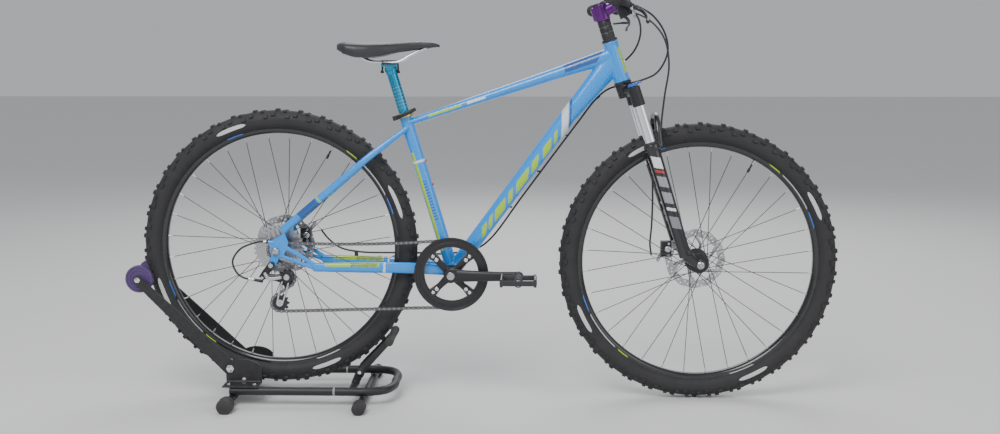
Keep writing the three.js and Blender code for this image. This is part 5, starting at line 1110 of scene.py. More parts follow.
@dataclass
class Fork:
    """The suspension fork: steerer and crown, stanchions, sliding lowers with their arch. Lengths in millimetres."""

    leg_y: float = 65.0
    leg_forward: float = 18.0
    offset: float = 49.0
    axle_up: float = -511.0
    crown_top: float = -9.3
    stanchion: float = 14.5
    lowers_top: float = -173.0
    lower_leg: float = 19.0
    hub_half: float = 50.0

    def build(self) -> None:
        """Builds the upper and lower halves of the fork."""
        self.upper()
        self.lockout()
        self.lowers()
        self.lower_details()

    def leg(self, up: float, side: int, forward: float = 0) -> np.ndarray:
        """A place on one leg's centre line."""
        return on_steer(up, self.leg_forward + forward, side * self.leg_y)

    def upper(self) -> None:
        """The crown with its two sleeves, and the polished stanchions."""
        crown = Skin().rod(on_steer(self.crown_top - 34), on_steer(self.crown_top), 20.5, 21.5, sides=40)
        for side in (-1, 1):
            crown.sweep([on_steer(self.crown_top - 18, 4), on_steer(self.crown_top - 20, 12, side * 36),
                self.leg(self.crown_top - 26, side)],
                        [18, 14, 15], [16, 15, 14], sides=28, steps=12, level=STEER_FORWARD)
            crown.rod(self.leg(-71, side), self.leg(-20, side), 16.5, 15.8, sides=40)
        crown.fused("fork_crown", Finishes.SATIN_BLACK, "steering", ["fork_upper"], 1.3, 5)
        tubes = Skin()
        for side in (-1, 1):
            tubes.rod(self.leg(self.lowers_top - 70, side), self.leg(-66, side), self.stanchion, sides=48)
        tubes.piece("stanchions", Finishes.CHROME, "steering")
        Skin().rod(on_steer(-30), on_steer(194), 14.2, sides=40).piece("steerer", Finishes.STEEL, "steering")
        caps = Skin()
        caps.rod(self.leg(-20, 1), self.leg(-14, 1), 13, 12)
        hex_bolt(caps, self.leg(-14, 1), STEER_UP, 6, 3)
        caps.piece("preload_cap", Finishes.RED_ANODISED, "steering")

    def lockout(self) -> None:
        """The blue lever that locks the travel, on the right leg."""
        base = self.leg(-19, -1)
        lever = Skin().turned([(0, 0), (12.2, 0), (12.6, 1.2), (12.2, 5.6), (10.8, 7), (0, 7.4)], base,
            STEER_UP, 40)
        tip = base + STEER_UP * 4.4 * MM + STEER_FORWARD * 23 * MM
        lever.sweep([base + STEER_UP * 3.6 * MM, mix(base, tip, 0.6) + STEER_UP * 2 * MM, tip], [3, 2.8, 2],
            [5, 4, 3], sides=16, steps=8)
        for i in range(18):
            a = i * 2 * math.pi / 18
            side = STEER_FORWARD * math.cos(a) + Y_AXIS * math.sin(a)
            lever.block(base + side * 12.3 * MM + STEER_UP * 3.4 * MM, (1.2, 1.2, 4.4),
                np.array([side, np.cross(STEER_UP, side), STEER_UP]))
        lever.piece("lockout_dial", Finishes.ROYAL, "lockout_lever", ["lockout_lever"])

    def lowers(self) -> None:
        """Both sliding legs, the arch between them and the dropouts as one casting."""
        cast = Skin()
        for side in (-1, 1):
            cast.rod(self.leg(self.axle_up + 34, side), self.leg(self.lowers_top, side), self.lower_leg - 3,
                self.lower_leg, sides=44)
            cast.turned([(14.9, 0), (20.4, 0), (21, 1.5), (20.8, 12), (19.4, 15), (14.9, 15)],
                self.leg(self.lowers_top - 15, side), STEER_UP, 44, True)
            toe = on_steer(self.axle_up + 1, self.offset - 5, side * (self.hub_half + 5))
            cast.sweep([self.leg(self.axle_up + 70, side), self.leg(self.axle_up + 34, side, 6), toe],
                [15, 15, 9.5], [15, 13, 6.5], sides=28, steps=12)
            cast.rod(off(FRONT_WHEEL, y=side * 50.4), off(FRONT_WHEEL, y=side * 59), 14, 13.4, sides=36)
        top = self.lowers_top + 62
        arch = [(self.leg_y, self.lowers_top - 12, self.leg_forward + 18),
            (59, self.lowers_top + 26, self.leg_forward + 28),
                (39, top - 6, self.leg_forward + 35), (0, top, self.leg_forward + 38)]
        path = [*arch, *[(-y, up, forward) for y, up, forward in reversed(arch[:-1])]]
        cast.sweep([on_steer(up, forward, y) for y, up, forward in path], [8.5, 9, 9, 8.5, 9, 9, 8.5],
            [12, 9, 7.5, 6.5, 7.5, 9, 12],
                   sides=28, steps=40, level=STEER_FORWARD)
        cast.fused("fork_lowers_casting", Finishes.GLOSS_MARKED, "fork_lowers", ["fork_lower"], 1.3, 5,
            self.paint)

    def paint(self, corners: np.ndarray) -> np.ndarray:
        """Gloss black with plain white, silver and red blocks down each leg."""
        colours = np.tile(np.array(INK), (len(corners), 1))
        rel = (corners - on_steer(0, self.leg_forward)) / MM
        up = rel @ STEER_UP
        front = rel @ STEER_FORWARD
        on_leg = np.abs(np.abs(corners[:, 1]) / MM - self.leg_y) < 22
        slant = up + front * 0.5
        for low, high, colour in ((-236, -206, WHITE), (-248, -242, RED), (-286, -258, (0.3, 0.31, 0.33)),
            (-330, -300, (0.3, 0.31, 0.33)),
                                  (-350, -342, WHITE), (-398, -366, (0.22, 0.23, 0.25))):
            mask = on_leg & (slant > low) & (slant < high) & (np.abs(front) < 11)
            colours[mask] = colour
        return colours

    def lower_details(self) -> None:
        """Wiper seals, the axle nut and quick-release lever, and the red damper bolts."""
        seals = Skin()
        for side in (-1, 1):
            seals.turned([(14.6, 0), (18.4, 0), (18, 3), (16.2, 5.5), (14.6, 6)],
                self.leg(self.lowers_top, side), STEER_UP, 44, True)
        seals.piece("wiper_seals", Finishes.BLACK_PLASTIC, "fork_lowers")
        bolts = Skin()
        for side in (-1, 1):
            hex_bolt(bolts, self.leg(self.axle_up + 35, side), -STEER_UP, 7.5, 7)
        bolts.piece("damper_bolts", Finishes.RED_ANODISED, "fork_lowers")
        nut = Skin().turned([(0, 0), (9, 0), (10, 2), (9.4, 7), (7, 9), (5, 9.5), (4, 12), (0, 12.6)],
            off(FRONT_WHEEL, y=-59), -Y_AXIS, 32)
        nut.piece("front_axle_nut", Finishes.STEEL, "fork_lowers")
        quick_release("front", FRONT_WHEEL, 68.0, -26.0, "front_axle_lever")


def quick_release(end: str, axle: np.ndarray, face: float, rise: float, body: str) -> None:
    """A wheel's cam and curved lever, on the left."""
    cam_y = face + 6.5
    lever = Skin().rod(off(axle, 0, cam_y, -9), off(axle, 0, cam_y, 9), 6.4, sides=32)
    route = [off(axle, -x, face + out, rise * share) for x, out,
        share in ((0, 6.5, 0), (20, 15, 0.4), (42, 15, 0.8), (58, 11, 1.1))]
    lever.sweep(route, [5.5, 4.6, 6.2, 5], [3.4, 2.6, 2.2, 1.6], sides=24, steps=18)
    lever.piece(end + "_quick_release", Finishes.CHROME, body, [end + "_axle_lever"])


@dataclass
class Cockpit:
    """Stem, handlebar, grips, brake levers and the shifter. Lengths in millimetres."""

    head: float = 104.0
    spacers: float = 48.0
    stem_high: float = 42.0
    stem_long: float = 58.0
    half: float = 350.0
    elbow: float = 60.0
    grip: float = 130.0
    bar: float = 11.1
    clamp: float = 15.9

    def __post_init__(self) -> None:
        """Works out the stem's lower end and the handlebar's middle."""
        self.stem_low = self.head + 9 + self.spacers
        self.centre = on_steer(self.stem_low + self.stem_high / 2 + 8, self.stem_long)

    def along(self, out: float, side: int) -> np.ndarray:
        """A place on the handlebar's centre line, `out` from the middle on one side."""
        swept = max(out - self.elbow, 0)
        return off(self.centre, -swept * math.tan(math.radians(11)), side * out, -swept * 0.015)

    def build(self) -> None:
        """Builds the whole cockpit."""
        self.stem()
        self.handlebar()
        for name, side in (("right", -1), ("left", 1)):
            self.hold(name, side)
            self.brake_lever(name, side)
        self.shifter()

    def stem(self) -> None:
        """The purple stem with its face plate, bolts and spacers."""
        body = Skin().rod(on_steer(self.stem_low), on_steer(self.stem_low + self.stem_high), 18.6, sides=40)
        body.sweep([on_steer(self.stem_low + 21, 6), mix(on_steer(self.stem_low + 21, 6), self.centre, 0.55),
            self.centre], [16, 13, 14.5],
                   [15.5, 13, 18], sides=32, steps=10)
        body.rod(off(self.centre, y=-22), off(self.centre, y=22), self.clamp + 5.2, sides=40)
        body.block(on_steer(self.stem_low + 21, -19), (9, 20, 34),
            np.array([STEER_FORWARD, Y_AXIS, STEER_UP]))
        body.fused("stem_body", Finishes.PURPLE, "steering", ["stem"], 1.0, 5)
        bolts = Skin()
        for side in (-1, 1):
            for up in (-1, 1):
                hex_bolt(bolts,
                    self.centre + STEER_FORWARD * 19 * MM + Y_AXIS * side * 14 * MM + STEER_UP * up * 13
                        * MM, STEER_FORWARD, 3.8, 3.5)
            hex_bolt(bolts, on_steer(self.stem_low + 21 + side * 9, -21, 10), Y_AXIS, 3.6, 3)
        hex_bolt(bolts, on_steer(self.stem_low + self.stem_high + 3), STEER_UP, 4, 2.5)
        bolts.piece("stem_bolts", Finishes.STEEL, "steering")
        rings = Skin()
        for i in range(3):
            low = self.head + 9.4 + i * 16
            rings.turned([(14.6, 0), (16.4, 0), (16.8, 0.5), (16.8, 14.8), (16.4, 15.4), (14.6, 15.4)],
                on_steer(low), STEER_UP, 44, True)
        rings.turned([(0, 0), (17.6, 0), (18.2, 1), (16.8, 3), (0, 3.4)],
            on_steer(self.stem_low + self.stem_high), STEER_UP, 44)
        rings.piece("steerer_spacers", Finishes.SATIN_BLACK, "steering")

    def handlebar(self) -> None:
        """The swept bar with its thick middle and end plugs."""
        places, radii = [], []
        for side in (-1, 1):
            stretch = [(self.half, self.bar), (200, self.bar), (90, self.bar + 0.2), (60, 12.6),
                (34, self.clamp), (10, self.clamp)]
            stretch = stretch if side < 0 else stretch[::-1]
            for out, radius in stretch:
                places.append(self.along(out, side))
                radii.append(radius)
        Skin().sweep(places, radii, sides=36, steps=90).piece("handlebar_tube", Finishes.GLOSS_BLACK,
            "steering", ["handlebar"], 60)
        marks = Skin()
        for side in (-1, 1):
            direction = unit(self.along(150, side) - self.along(90, side))
            for out in (74, 82, 120):
                marks.turned([(self.bar + 0.2, 0), (self.bar + 1.0, 0.3), (self.bar + 1.0, 3),
                    (self.bar + 0.2, 3.4)], self.along(out, side), direction, 36, True)
        marks.piece("bar_marks", Finishes.BLUE_DETAIL, "steering")

    def hold(self, name: str, side: int) -> None:
        """A grip: a ribbed rubber sleeve with a lock ring and a closed end."""
        inner = self.along(self.half - self.grip, side)
        direction = unit(self.along(self.half, side) - inner)
        profile = [(11.4, 0), (18.5, 0), (18.8, 2), (18.2, 5), (15.4, 7)]
        length = 8.0
        while length < self.grip - 16:
            swell = 15.1 + 0.9 * math.sin(math.pi * length / self.grip)
            profile += [(swell, length), (swell + 0.7, length + 0.9), (swell + 0.7, length + 2.6),
                (swell, length + 3.5)]
            length += 4.6
        profile += [(15.4, self.grip - 10), (16.4, self.grip - 6), (16.4, self.grip + 1),
            (14.6, self.grip + 2.8), (0, self.grip + 3)]
        Skin().turned([(11.4, 0), *profile[1:]], inner, direction, 48).piece(name + "_grip_sleeve",
            Finishes.GRIP_RUBBER, "steering", [name + "_grip"], 28)

    def brake_lever(self, name: str, side: int) -> None:
        """A lever's clamp and barrel, its adjuster, and the blade."""
        at_out = self.half - self.grip - 22
        hub = self.along(at_out, side)
        direction = unit(self.along(at_out + 10, side) - hub)
        ahead = off(hub, 30, 0, -14)
        barrel = off(hub, 34, -side * 34, -10)
        body = Skin().rod(hub - direction * 8 * MM, hub + direction * 8 * MM, 15.6, sides=36)
        body.sweep([off(hub, 8, 0, -2), mix(hub, ahead, 0.55), ahead], [10, 8.5, 7.5], [12, 11, 9], sides=24,
            steps=8)
        body.sweep([ahead, mix(ahead, barrel, 0.5), barrel], [7, 6.5, 5], sides=24, steps=8)
        body.fused(name + "_lever_bracket", Finishes.BLACK_PLASTIC, "steering", [name + "_controls"], 0.9, 5)
        trim = Skin().rod(barrel - unit(barrel - ahead) * 9 * MM, barrel - unit(barrel - ahead) * 1 * MM,
            5.6, 5.2)
        trim.rod(barrel - unit(barrel - ahead) * 2 * MM, barrel + unit(barrel - ahead) * 0.2 * MM, 3.9)
        hex_bolt(trim, off(hub, 2, 0, -14), np.array([0.2, 0, -1.0]), 3.4, 3)
        pivot = off(ahead, 13.5, 0, -6)
        trim.rod(off(pivot, z=-7.5), off(pivot, z=7.5), 2.6)
        trim.piece(name + "_lever_barrel", Finishes.STEEL, "steering")
        blade = Skin().rod(off(pivot, z=-5), off(pivot, z=5), 6)
        route = [pivot, off(pivot, 16, side * 14, -10), off(pivot, 24, side * 48, -24),
            off(pivot, 20, side * 84, -34), off(pivot, 21, side * 96, -38)]
        blade.sweep(route, [4.5, 4.4, 4.8, 5, 4.6], [3.8, 2.8, 2.3, 2.5, 3.4], sides=24, steps=26)
        blade.piece(name + "_brake_blade", Finishes.SATIN_BLACK, name + "_brake_lever",
            [name + "_brake_lever"], 50)

    def shifter(self) -> None:
        """The shifter pod beside the right lever, with its window and thumb paddle."""
        pod = self.along(self.half - self.grip - 52, -1)
        low = off(pod, 20, 0, -40)
        direction = unit(self.along(180, -1) - self.along(160, -1))
        body = Skin().rod(pod - direction * 8 * MM, pod + direction * 8 * MM, 15.2, sides=36)
        body.sweep([off(pod, 8, 0, -8), mix(pod, low, 0.55), low], [13, 15, 17], [14, 18, 22], sides=32,
            steps=10)
        body.fused("shifter_pod", Finishes.BLACK_PLASTIC, "steering", voxel=1.0, rounds=6)
        trim = Skin().turned([(0, 0), (12, 0), (12.6, 0.8), (11, 2.2), (0, 2.8)], off(low, 15.5, -3, 6),
            np.array([0.9, -0.3, 0.3]), 32)
        trim.piece("shifter_cover", Finishes.SILVER_DETAIL, "steering")
        paddle = off(low, -4, 0, -13.3)
        thumb = Skin().turned([(0, 0), (9, 0), (9, -4), (7.5, -5.4), (0, -5.6)], paddle,
            np.array([0, 0, 1.0]), 28)
        thumb.sweep([off(paddle, 0, 0, -2.7), off(paddle, -14, 4, -3.2), off(paddle, -26, 10, -4)],
            [2.6, 2.4, 2.6], [5, 6, 7.5], sides=20, steps=10)
        thumb.piece("shift_paddle", Finishes.SATIN_BLACK, "shift_lever", ["shift_lever"])


# ---------------------------------------------------------------- drive
@dataclass
class Drive:
    """Cranks, rings, pedals, chain, cassette and derailleur. Lengths in millimetres."""

    pitch: float = 12.7
    ring_teeth: int = 44
    cog_teeth: Sequence[int] = (11, 13, 15, 18, 21, 24, 28, 32)
    ring_y: float = -48.0
    cog_y: float = -61.5
    cog_step: float = 4.8
    crank: float = 175.0
    guide: np.ndarray = field(default_factory=lambda: joint_place("guide_pulley_spin"))
    tension: np.ndarray = field(default_factory=lambda: joint_place("tension_pulley_spin"))

    def build(self) -> None:
        """Builds the drive train."""
        self.cranks()
        self.rings()
        for name, side in (("right", -1), ("left", 1)):
            self.pedal(name, side)
        self.cassette()
        self.chain()
        self.derailleur()

    def pitch_radius(self, teeth: int) -> float:
        """The radius through the chain's rollers on a wheel with this many teeth."""
        return self.pitch / (2 * math.sin(math.pi / teeth))

    def toothed(self, skin: Skin, centre: np.ndarray, teeth: int, y: float, hole: float,
        thick: float = 1.8) -> None:
        """A toothed disc with a round hole, about an axis along Y."""
        radius = self.pitch_radius(teeth)
        outer, inner = [], []
        for i in range(teeth * 6):
            turn = i / (teeth * 6)
            share = (i % 6) / 6
            lift = (3.0, 1.6, -2.2, -3.4, -2.2, 1.6)[int(share * 6)]
            angle = turn * 2 * math.pi
            spoke = np.array([math.cos(angle), 0, math.sin(angle)])
            outer.append(centre + spoke * (radius + lift) * MM)
            inner.append(centre + spoke * hole * MM)
        rows = []
        for ring, height in ((outer, -0.5), (outer, 0.5), (inner, 0.5), (inner, -0.5)):
            rows.append([np.array([p[0], (y + height * thick) * MM, p[2]]) for p in ring])
        skin.grid(np.array(rows), closed=True)

    def cranks(self) -> None:
        """Both arms, the spider, and the spindle's caps."""
        for name, side in (("right", -1), ("left", 1)):
            end = off(BOTTOM_BRACKET, -side * self.crank)
            arm = Skin()
            place = lambda x, y: off(BOTTOM_BRACKET, -side * x, side * y)
            arm.sweep([place(0, 74), place(55, 77.5), place(120, 81), place(self.crank, 81.5)],
                [17.5, 14.5, 12.5, 13], [8.5, 7.6, 6.6, 6.5], sides=36, steps=16)
            arm.rod(off(BOTTOM_BRACKET, y=side * (56 if side < 0 else 45)), off(BOTTOM_BRACKET, y=side * 82),
                18.5, sides=40)
            arm.rod(off(end, y=side * 74.5), off(end, y=side * 88), 13, sides=36)
            if side < 0:
                for i in range(4):
                    a = i * math.pi / 2 + math.pi / 4
                    tip = np.array([math.cos(a), 0, math.sin(a)]) * 58 * MM
                    arm.sweep([off(BOTTOM_BRACKET, y=-54), off(BOTTOM_BRACKET, y=-53.4) + tip * 0.6,
                        off(BOTTOM_BRACKET, y=-52.6) + tip], [4.5, 3.8, 3.3],
                              [13, 9, 8], sides=24, steps=10, level=np.cross(Y_AXIS, tip))
            nodes = ["crankset"] if side < 0 else ["left_crank"]
            arm.fused(name + "_crank_arm", Finishes.SATIN_BLACK, "crank", nodes, 1.1, 5)
            bolt = Skin()
            hex_bolt(bolt, off(BOTTOM_BRACKET, y=side * 81.5), Y_AXIS * side, 10, 3)
            bolt.turned([(0, 0), (6.5, 0), (6.5, 1.4), (0, 1.6)], off(end, y=side * 87.8), Y_AXIS * side, 24)
            bolt.piece(name + "_crank_bolt", Finishes.STEEL, "crank")
        Skin().rod(off(BOTTOM_BRACKET, y=-60), off(BOTTOM_BRACKET, y=66), 11.5).piece("crank_spindle",
            Finishes.STEEL, "crank")

    def rings(self) -> None:
        """The toothed ring, the drilled guard ring outside it, and the ring bolts."""
        ring = Skin()
        self.toothed(ring, BOTTOM_BRACKET, self.ring_teeth, self.ring_y, 70)
        for i in range(4):
            a = i * math.pi / 2 + math.pi / 4
            out = np.array([math.cos(a), 0, math.sin(a)])
            ring.sweep([off(BOTTOM_BRACKET, y=self.ring_y) + out * 46 * MM,
                off(BOTTOM_BRACKET, y=self.ring_y) + out * 73 * MM], 0.9, [8.5, 13], sides=16,
                       level=np.cross(Y_AXIS, out))
        ring.piece("chainring_teeth", Finishes.DARK_STEEL, "crank", ["chainring"], 25)
        guard = Skin()
        guard.turned([(96.5, -57.4), (96.9, -56.6), (96.9, -54.4), (96.3, -53.5), (74, -53.5), (72.6, -54.2),
            (72.6, -56.8), (74, -57.4), (83, -57.4),
                      (84, -56.6), (91, -56.6), (92, -57.4)], BOTTOM_BRACKET, segments=144, ring=True)
        for i in range(4):
            a = i * math.pi / 2 + math.pi / 4
            out = np.array([math.cos(a), 0, math.sin(a)])
            guard.sweep([off(BOTTOM_BRACKET, y=-55.4) + out * 58.6 * MM,
                off(BOTTOM_BRACKET, y=-55.4) + out * 76 * MM], 2, [7, 12], sides=20,
                    level=np.cross(Y_AXIS, out))
        guard.piece("chain_guard", Finishes.SATIN_BLACK, "crank", crease=30)
        bolts = Skin()
        for i in range(4):
            a = i * math.pi / 2 + math.pi / 4
            out = np.array([math.cos(a), 0, math.sin(a)])
            hex_bolt(bolts, off(BOTTOM_BRACKET, y=-57) + out * 54 * MM, -Y_AXIS, 5.2, 2.4)
            hex_bolt(bolts, off(BOTTOM_BRACKET, y=-57.2) + out * 67 * MM, -Y_AXIS, 4.4, 1.8)
            hex_bolt(bolts, off(BOTTOM_BRACKET, y=-46.8) + out * 54 * MM, Y_AXIS, 5.2, 1.6)
        bolts.piece("ring_bolts", Finishes.CHROME, "crank")

    def pedal(self, name: str, side: int) -> None:
        """A platform pedal: barrel, cage with toothed rails, bearing cap and pins."""
        axle = joint_place(name + "_pedal_spin")
        spot = lambda x, y, z=0.0: np.array([axle[0] + x * MM, side * y * MM, axle[2] + z * MM])
        start, long, wide = 90.0, 94.0, 88.0
        middle = start + 4 + wide / 2
        cage = Skin()
        for way in (-1, 1):
            cage.block(spot(way * (long / 2 - 4.5), middle), (6.5, wide, 19), taper=0.94)
            cage.block(spot(way * (long / 2 - 4.5), middle), (8.5, wide - 16, 11))
            cage.block(spot(0, middle + way * (wide / 2 - 5)), (long - 6, 8, 13))
            cage.sweep([spot(way * 6, middle + 30), spot(way * 40, middle + 38)], 5, 3, sides=12)
            cage.sweep([spot(way * 6, middle - 30), spot(way * 40, middle - 38)], 5, 3, sides=12)
        cage.rod(spot(0, start + 3), spot(0, start + wide - 3), 11.5, sides=32)
        cage.fused(name + "_pedal_body", Finishes.BLACK_PLASTIC, name + "_pedal", [name + "_pedal"], 1.0, 2)
        pins = Skin()
        for way in (-1, 1):
            for i in range(6):
                y = start + 14 + i * 13.5
                for up in (-1, 1):
                    pins.rod(spot(way * (long / 2 - 4.5), y, up * 8),
                        spot(way * (long / 2 - 4.5), y, up * 11), 1.7, 1.2, sides=10)
        pins.rod(spot(0, start - 13), spot(0, start + 6), 4.5)
        pins.rod(spot(0, start - 3), spot(0, start + 1), 8, 8)
        pins.turned([(0, 0), (8.5, 0), (8.5, 1.5), (6, 2.6), (0, 2.8)], spot(0, start + wide - 2.8),
            Y_AXIS * side, 28)
        pins.piece(name + "_pedal_steel", Finishes.STEEL, name + "_pedal")

    def cassette(self) -> None:
        """Eight sprockets on their spacers, with the lock ring."""
        stack = Skin()
        for i, teeth in enumerate(self.cog_teeth):
            self.toothed(stack, REAR_WHEEL, teeth, self.cog_y + i * self.cog_step, 15.2, 1.8)
        stack.piece("sprockets", Finishes.STEEL, "cassette", ["cassette"], 25)
        core = Skin().turned([(8.4, -63.6), (14, -64), (15.6, -62.5), (15.6, -27), (8.4, -26.5)], REAR_WHEEL,
            segments=48, ring=True)
        core.piece("cassette_core", Finishes.SATIN_BLACK, "cassette")
        nut = Skin().turned([(0, 0), (9.5, 0), (10.5, 2), (9.5, 8), (6.5, 10.5), (0, 11)],
            off(REAR_WHEEL, y=-73.2), -Y_AXIS, 32)
        nut.piece("rear_axle_nut", Finishes.STEEL, "frame")

    def chain_path(self) -> list[tuple[float, float]]:
        """The chain's centre line in side view, closed, with a place for each pin."""
        wheels = [(BOTTOM_BRACKET, self.pitch_radius(self.ring_teeth), 1, 8.0),
            (REAR_WHEEL, self.pitch_radius(self.cog_teeth[0]), 1, 0.0),
                  (self.guide, self.pitch_radius(11), -1, 0.0), (self.tension, self.pitch_radius(11), 1, 0.0)]
        spots = [(w[0][0] / MM, w[0][2] / MM, w[1], w[2], w[3]) for w in wheels]
        runs = []
        for (ax, az, ar, at_turn, _), (bx, bz, br, b_turn, _) in zip(spots, spots[1:] + spots[:1]):
            heading = math.atan2(bz - az,
                bx - ax) + math.asin((at_turn * ar - b_turn * br) / math.hypot(bx - ax, bz - az))
            away = heading - math.pi / 2
            runs.append(((ax + at_turn * ar * math.cos(away), az + at_turn * ar * math.sin(away)),
                         (bx + b_turn * br * math.cos(away), bz + b_turn * br * math.sin(away))))
        line: list[tuple[float, float]] = []
        for i, (x, z, radius, turn, sag) in enumerate(spots):
            arrive, leave = runs[i - 1][1], runs[i][0]
            first = math.atan2(arrive[1] - z, arrive[0] - x)
            last = math.atan2(leave[1] - z, leave[0] - x)
            while (last - first) * turn < 0:
                last += turn * 2 * math.pi
            line += [(x + radius * math.cos(a), z + radius * math.sin(a)) for a in np.linspace(first, last,
                40)]
            (sx, sz), (ex, ez) = runs[i]
            line += [(sx + (ex - sx) * t, sz + (ez - sz) * t - 4 * sag * t * (1 - t)) for t in np.linspace(0,
                1, 40)[1:-1]]
        closed = np.array([*line, line[0]])
        lengths = np.concatenate([[0], np.cumsum(np.linalg.norm(np.diff(closed, axis=0), axis=1))])
        links = 2 * round(lengths[-1] / self.pitch / 2)
        marks = np.linspace(0, lengths[-1], links + 1)[:-1]
        return list(zip(np.interp(marks, lengths, closed[:, 0]), np.interp(marks, lengths, closed[:, 1])))

    def chain(self) -> None:
        """The roller chain, link by link: inner and outer plates, rollers and pin heads."""
        pins = self.chain_path()
        rear_x, front_x = REAR_WHEEL[0] / MM + 74, BOTTOM_BRACKET[0] / MM - 106
        slant = lambda x: self.cog_y + (self.ring_y - self.cog_y) * min(
            max((x - rear_x) / (front_x - rear_x), 0), 1)
        plates, rollers = Skin(), Skin()
        for i, (x, z) in enumerate(pins):
            nx, nz = pins[(i + 1) % len(pins)]
            heading = math.atan2(nz - z, nx - x)
            a, b = np.array([x, slant(x), z]) * MM, np.array([nx, slant(nx), nz]) * MM
            ahead = unit(b - a)
            up = np.array([-math.sin(heading), 0, math.cos(heading)])
            outline = []
            for centre, start in ((a, math.pi / 2), (b, -math.pi / 2)):
                for turn in np.linspace(start, start + math.pi, 7):
                    outline.append(
                        centre + ahead * math.cos(turn) * 4.1 * MM + up * math.sin(turn) * 4.1 * MM)
                middle = (a + b) / 2
                outline.append(middle + up * (-3.0 if start > 0 else 3.0) * MM)
            near = 2.0 if i % 2 else 2.95
            for side in (-1, 1):
                plates.plate([p + Y_AXIS * side * near * MM for p in outline], Y_AXIS * side * 0.85 * MM)
            rollers.rod(a - Y_AXIS * 1.9 * MM, a + Y_AXIS * 1.9 * MM, 3.6, sides=12, chamfer=0.3)
            rollers.rod(a - Y_AXIS * 4.0 * MM, a + Y_AXIS * 4.0 * MM, 1.7, sides=10, chamfer=0.3)
        plates.piece("chain_plates", Finishes.DARK_STEEL, "frame", ["chain"], 30)
        rollers.piece("chain_rollers", Finishes.STEEL, "frame", crease=30)

    def derailleur(self) -> None:
        """The derailleur's body and links, and the sprung cage with its pulleys."""
        hanger, knuckle = at(-11, 0, 364), joint_place("derailleur_cage_swing")
        spot = lambda p, y: np.array([p[0], y * MM, p[2]])
        body = Skin().rod(spot(hanger, -85), spot(hanger, -73.4), 9, sides=32)
        low = off(hanger, -26, 0, -34)
        body.sweep([spot(hanger, -79), spot(mix(hanger, low, 0.5), -80), spot(low, -80)], [8.5, 9.5, 8],
            [6, 7, 7], sides=28, steps=10)
        body.sweep([spot(off(hanger, -24, 0, -26), -81), spot(mix(low, knuckle, 0.55), -82.5),
            spot(knuckle, -80)], [7.5, 9, 12], [5.5, 6, 6.5], sides=28, steps=12)
        body.rod(spot(knuckle, -87), spot(knuckle, -70), 15.5, 15, sides=40)
        body.rod(off(hanger, -22, -80, -42), off(hanger, -50, -80, -37), 4.5, 3.6)
        body.fused("derailleur_body", Finishes.SATIN_BLACK, "frame", ["rear_derailleur"], 0.9, 5)
        trim = Skin().sweep([spot(off(hanger, -16, 0, -18), -87.5), spot(mix(low, knuckle, 0.3), -88.6),
            spot(mix(low, knuckle, 0.8), -88)], [3.2, 4.6, 3.4], 1.0,
                            sides=20, steps=12)
        hex_bolt(trim, spot(hanger, -85), -Y_AXIS, 6, 3)
        hex_bolt(trim, spot(knuckle, -87), -Y_AXIS, 7.5, 2.4)
        hex_bolt(trim, spot(off(low, 3, 0, 2), -87), -Y_AXIS, 4, 2)
        trim.rod(off(hanger, -44, -80, -38), off(hanger, -52, -80, -36.6), 5.2, 4.4)
        trim.piece("derailleur_trim", Finishes.SILVER_DETAIL, "frame")
        cage = Skin()
        for y in (self.cog_y + 4.9, self.cog_y - 4.9):
            near = Skin()
            near.turned([(4.4, -0.8), (9.5, -0.8), (9.5, 0.8), (4.4, 0.8)], spot(knuckle, y), segments=32,
                ring=True)
            near.turned([(3.4, -0.8), (9.0, -0.8), (9.0, 0.8), (3.4, 0.8)], spot(self.tension, y),
                segments=32, ring=True)
            heading = unit((self.tension - self.guide) * np.array([1, 0, 1]))
            across = np.cross(Y_AXIS, heading)
            for way in (-1, 1):
                near.sweep([spot(self.guide, y) + across * way * 8 * MM + heading * 2 * MM,
                    spot(mix(self.guide, self.tension, 0.5), y) + across * way * 8.6 * MM,
                            spot(self.tension, y) + across * way * 7 * MM - heading * 3 * MM], 2.2, 0.8,
                                sides=12, steps=10)
            near.sweep([spot(self.guide, y) - heading * 6 * MM, spot(self.guide, y) + heading * 6 * MM], 10,
                0.8, sides=20)
            cage.add(np.concatenate(near.corners), near.faces)
        cage.rod(spot(knuckle, self.cog_y - 8.1), spot(knuckle, self.cog_y - 4), 6)
        for centre in (self.guide, self.tension):
            cage.rod(spot(centre, self.cog_y - 6.4), spot(centre, self.cog_y + 6.2), 2.9)
        cage.piece("derailleur_cage_plates", Finishes.SILVER_DETAIL, "derailleur_cage", ["derailleur_cage"],
            30)
        for name, centre in (("guide_pulley", self.guide), ("tension_pulley", self.tension)):
            wheel = Skin()
            self.toothed(wheel, centre, 11, self.cog_y, 3.6, 2.4)
            wheel.turned([(3.6, -1.9), (8, -1.9), (8.6, -1.3), (8.6, 1.3), (8, 1.9), (3.6, 1.9)],
                spot(centre, self.cog_y), segments=32, ring=True)
            wheel.piece(name + "_wheel", Finishes.BLACK_PLASTIC, name, [name], 30)


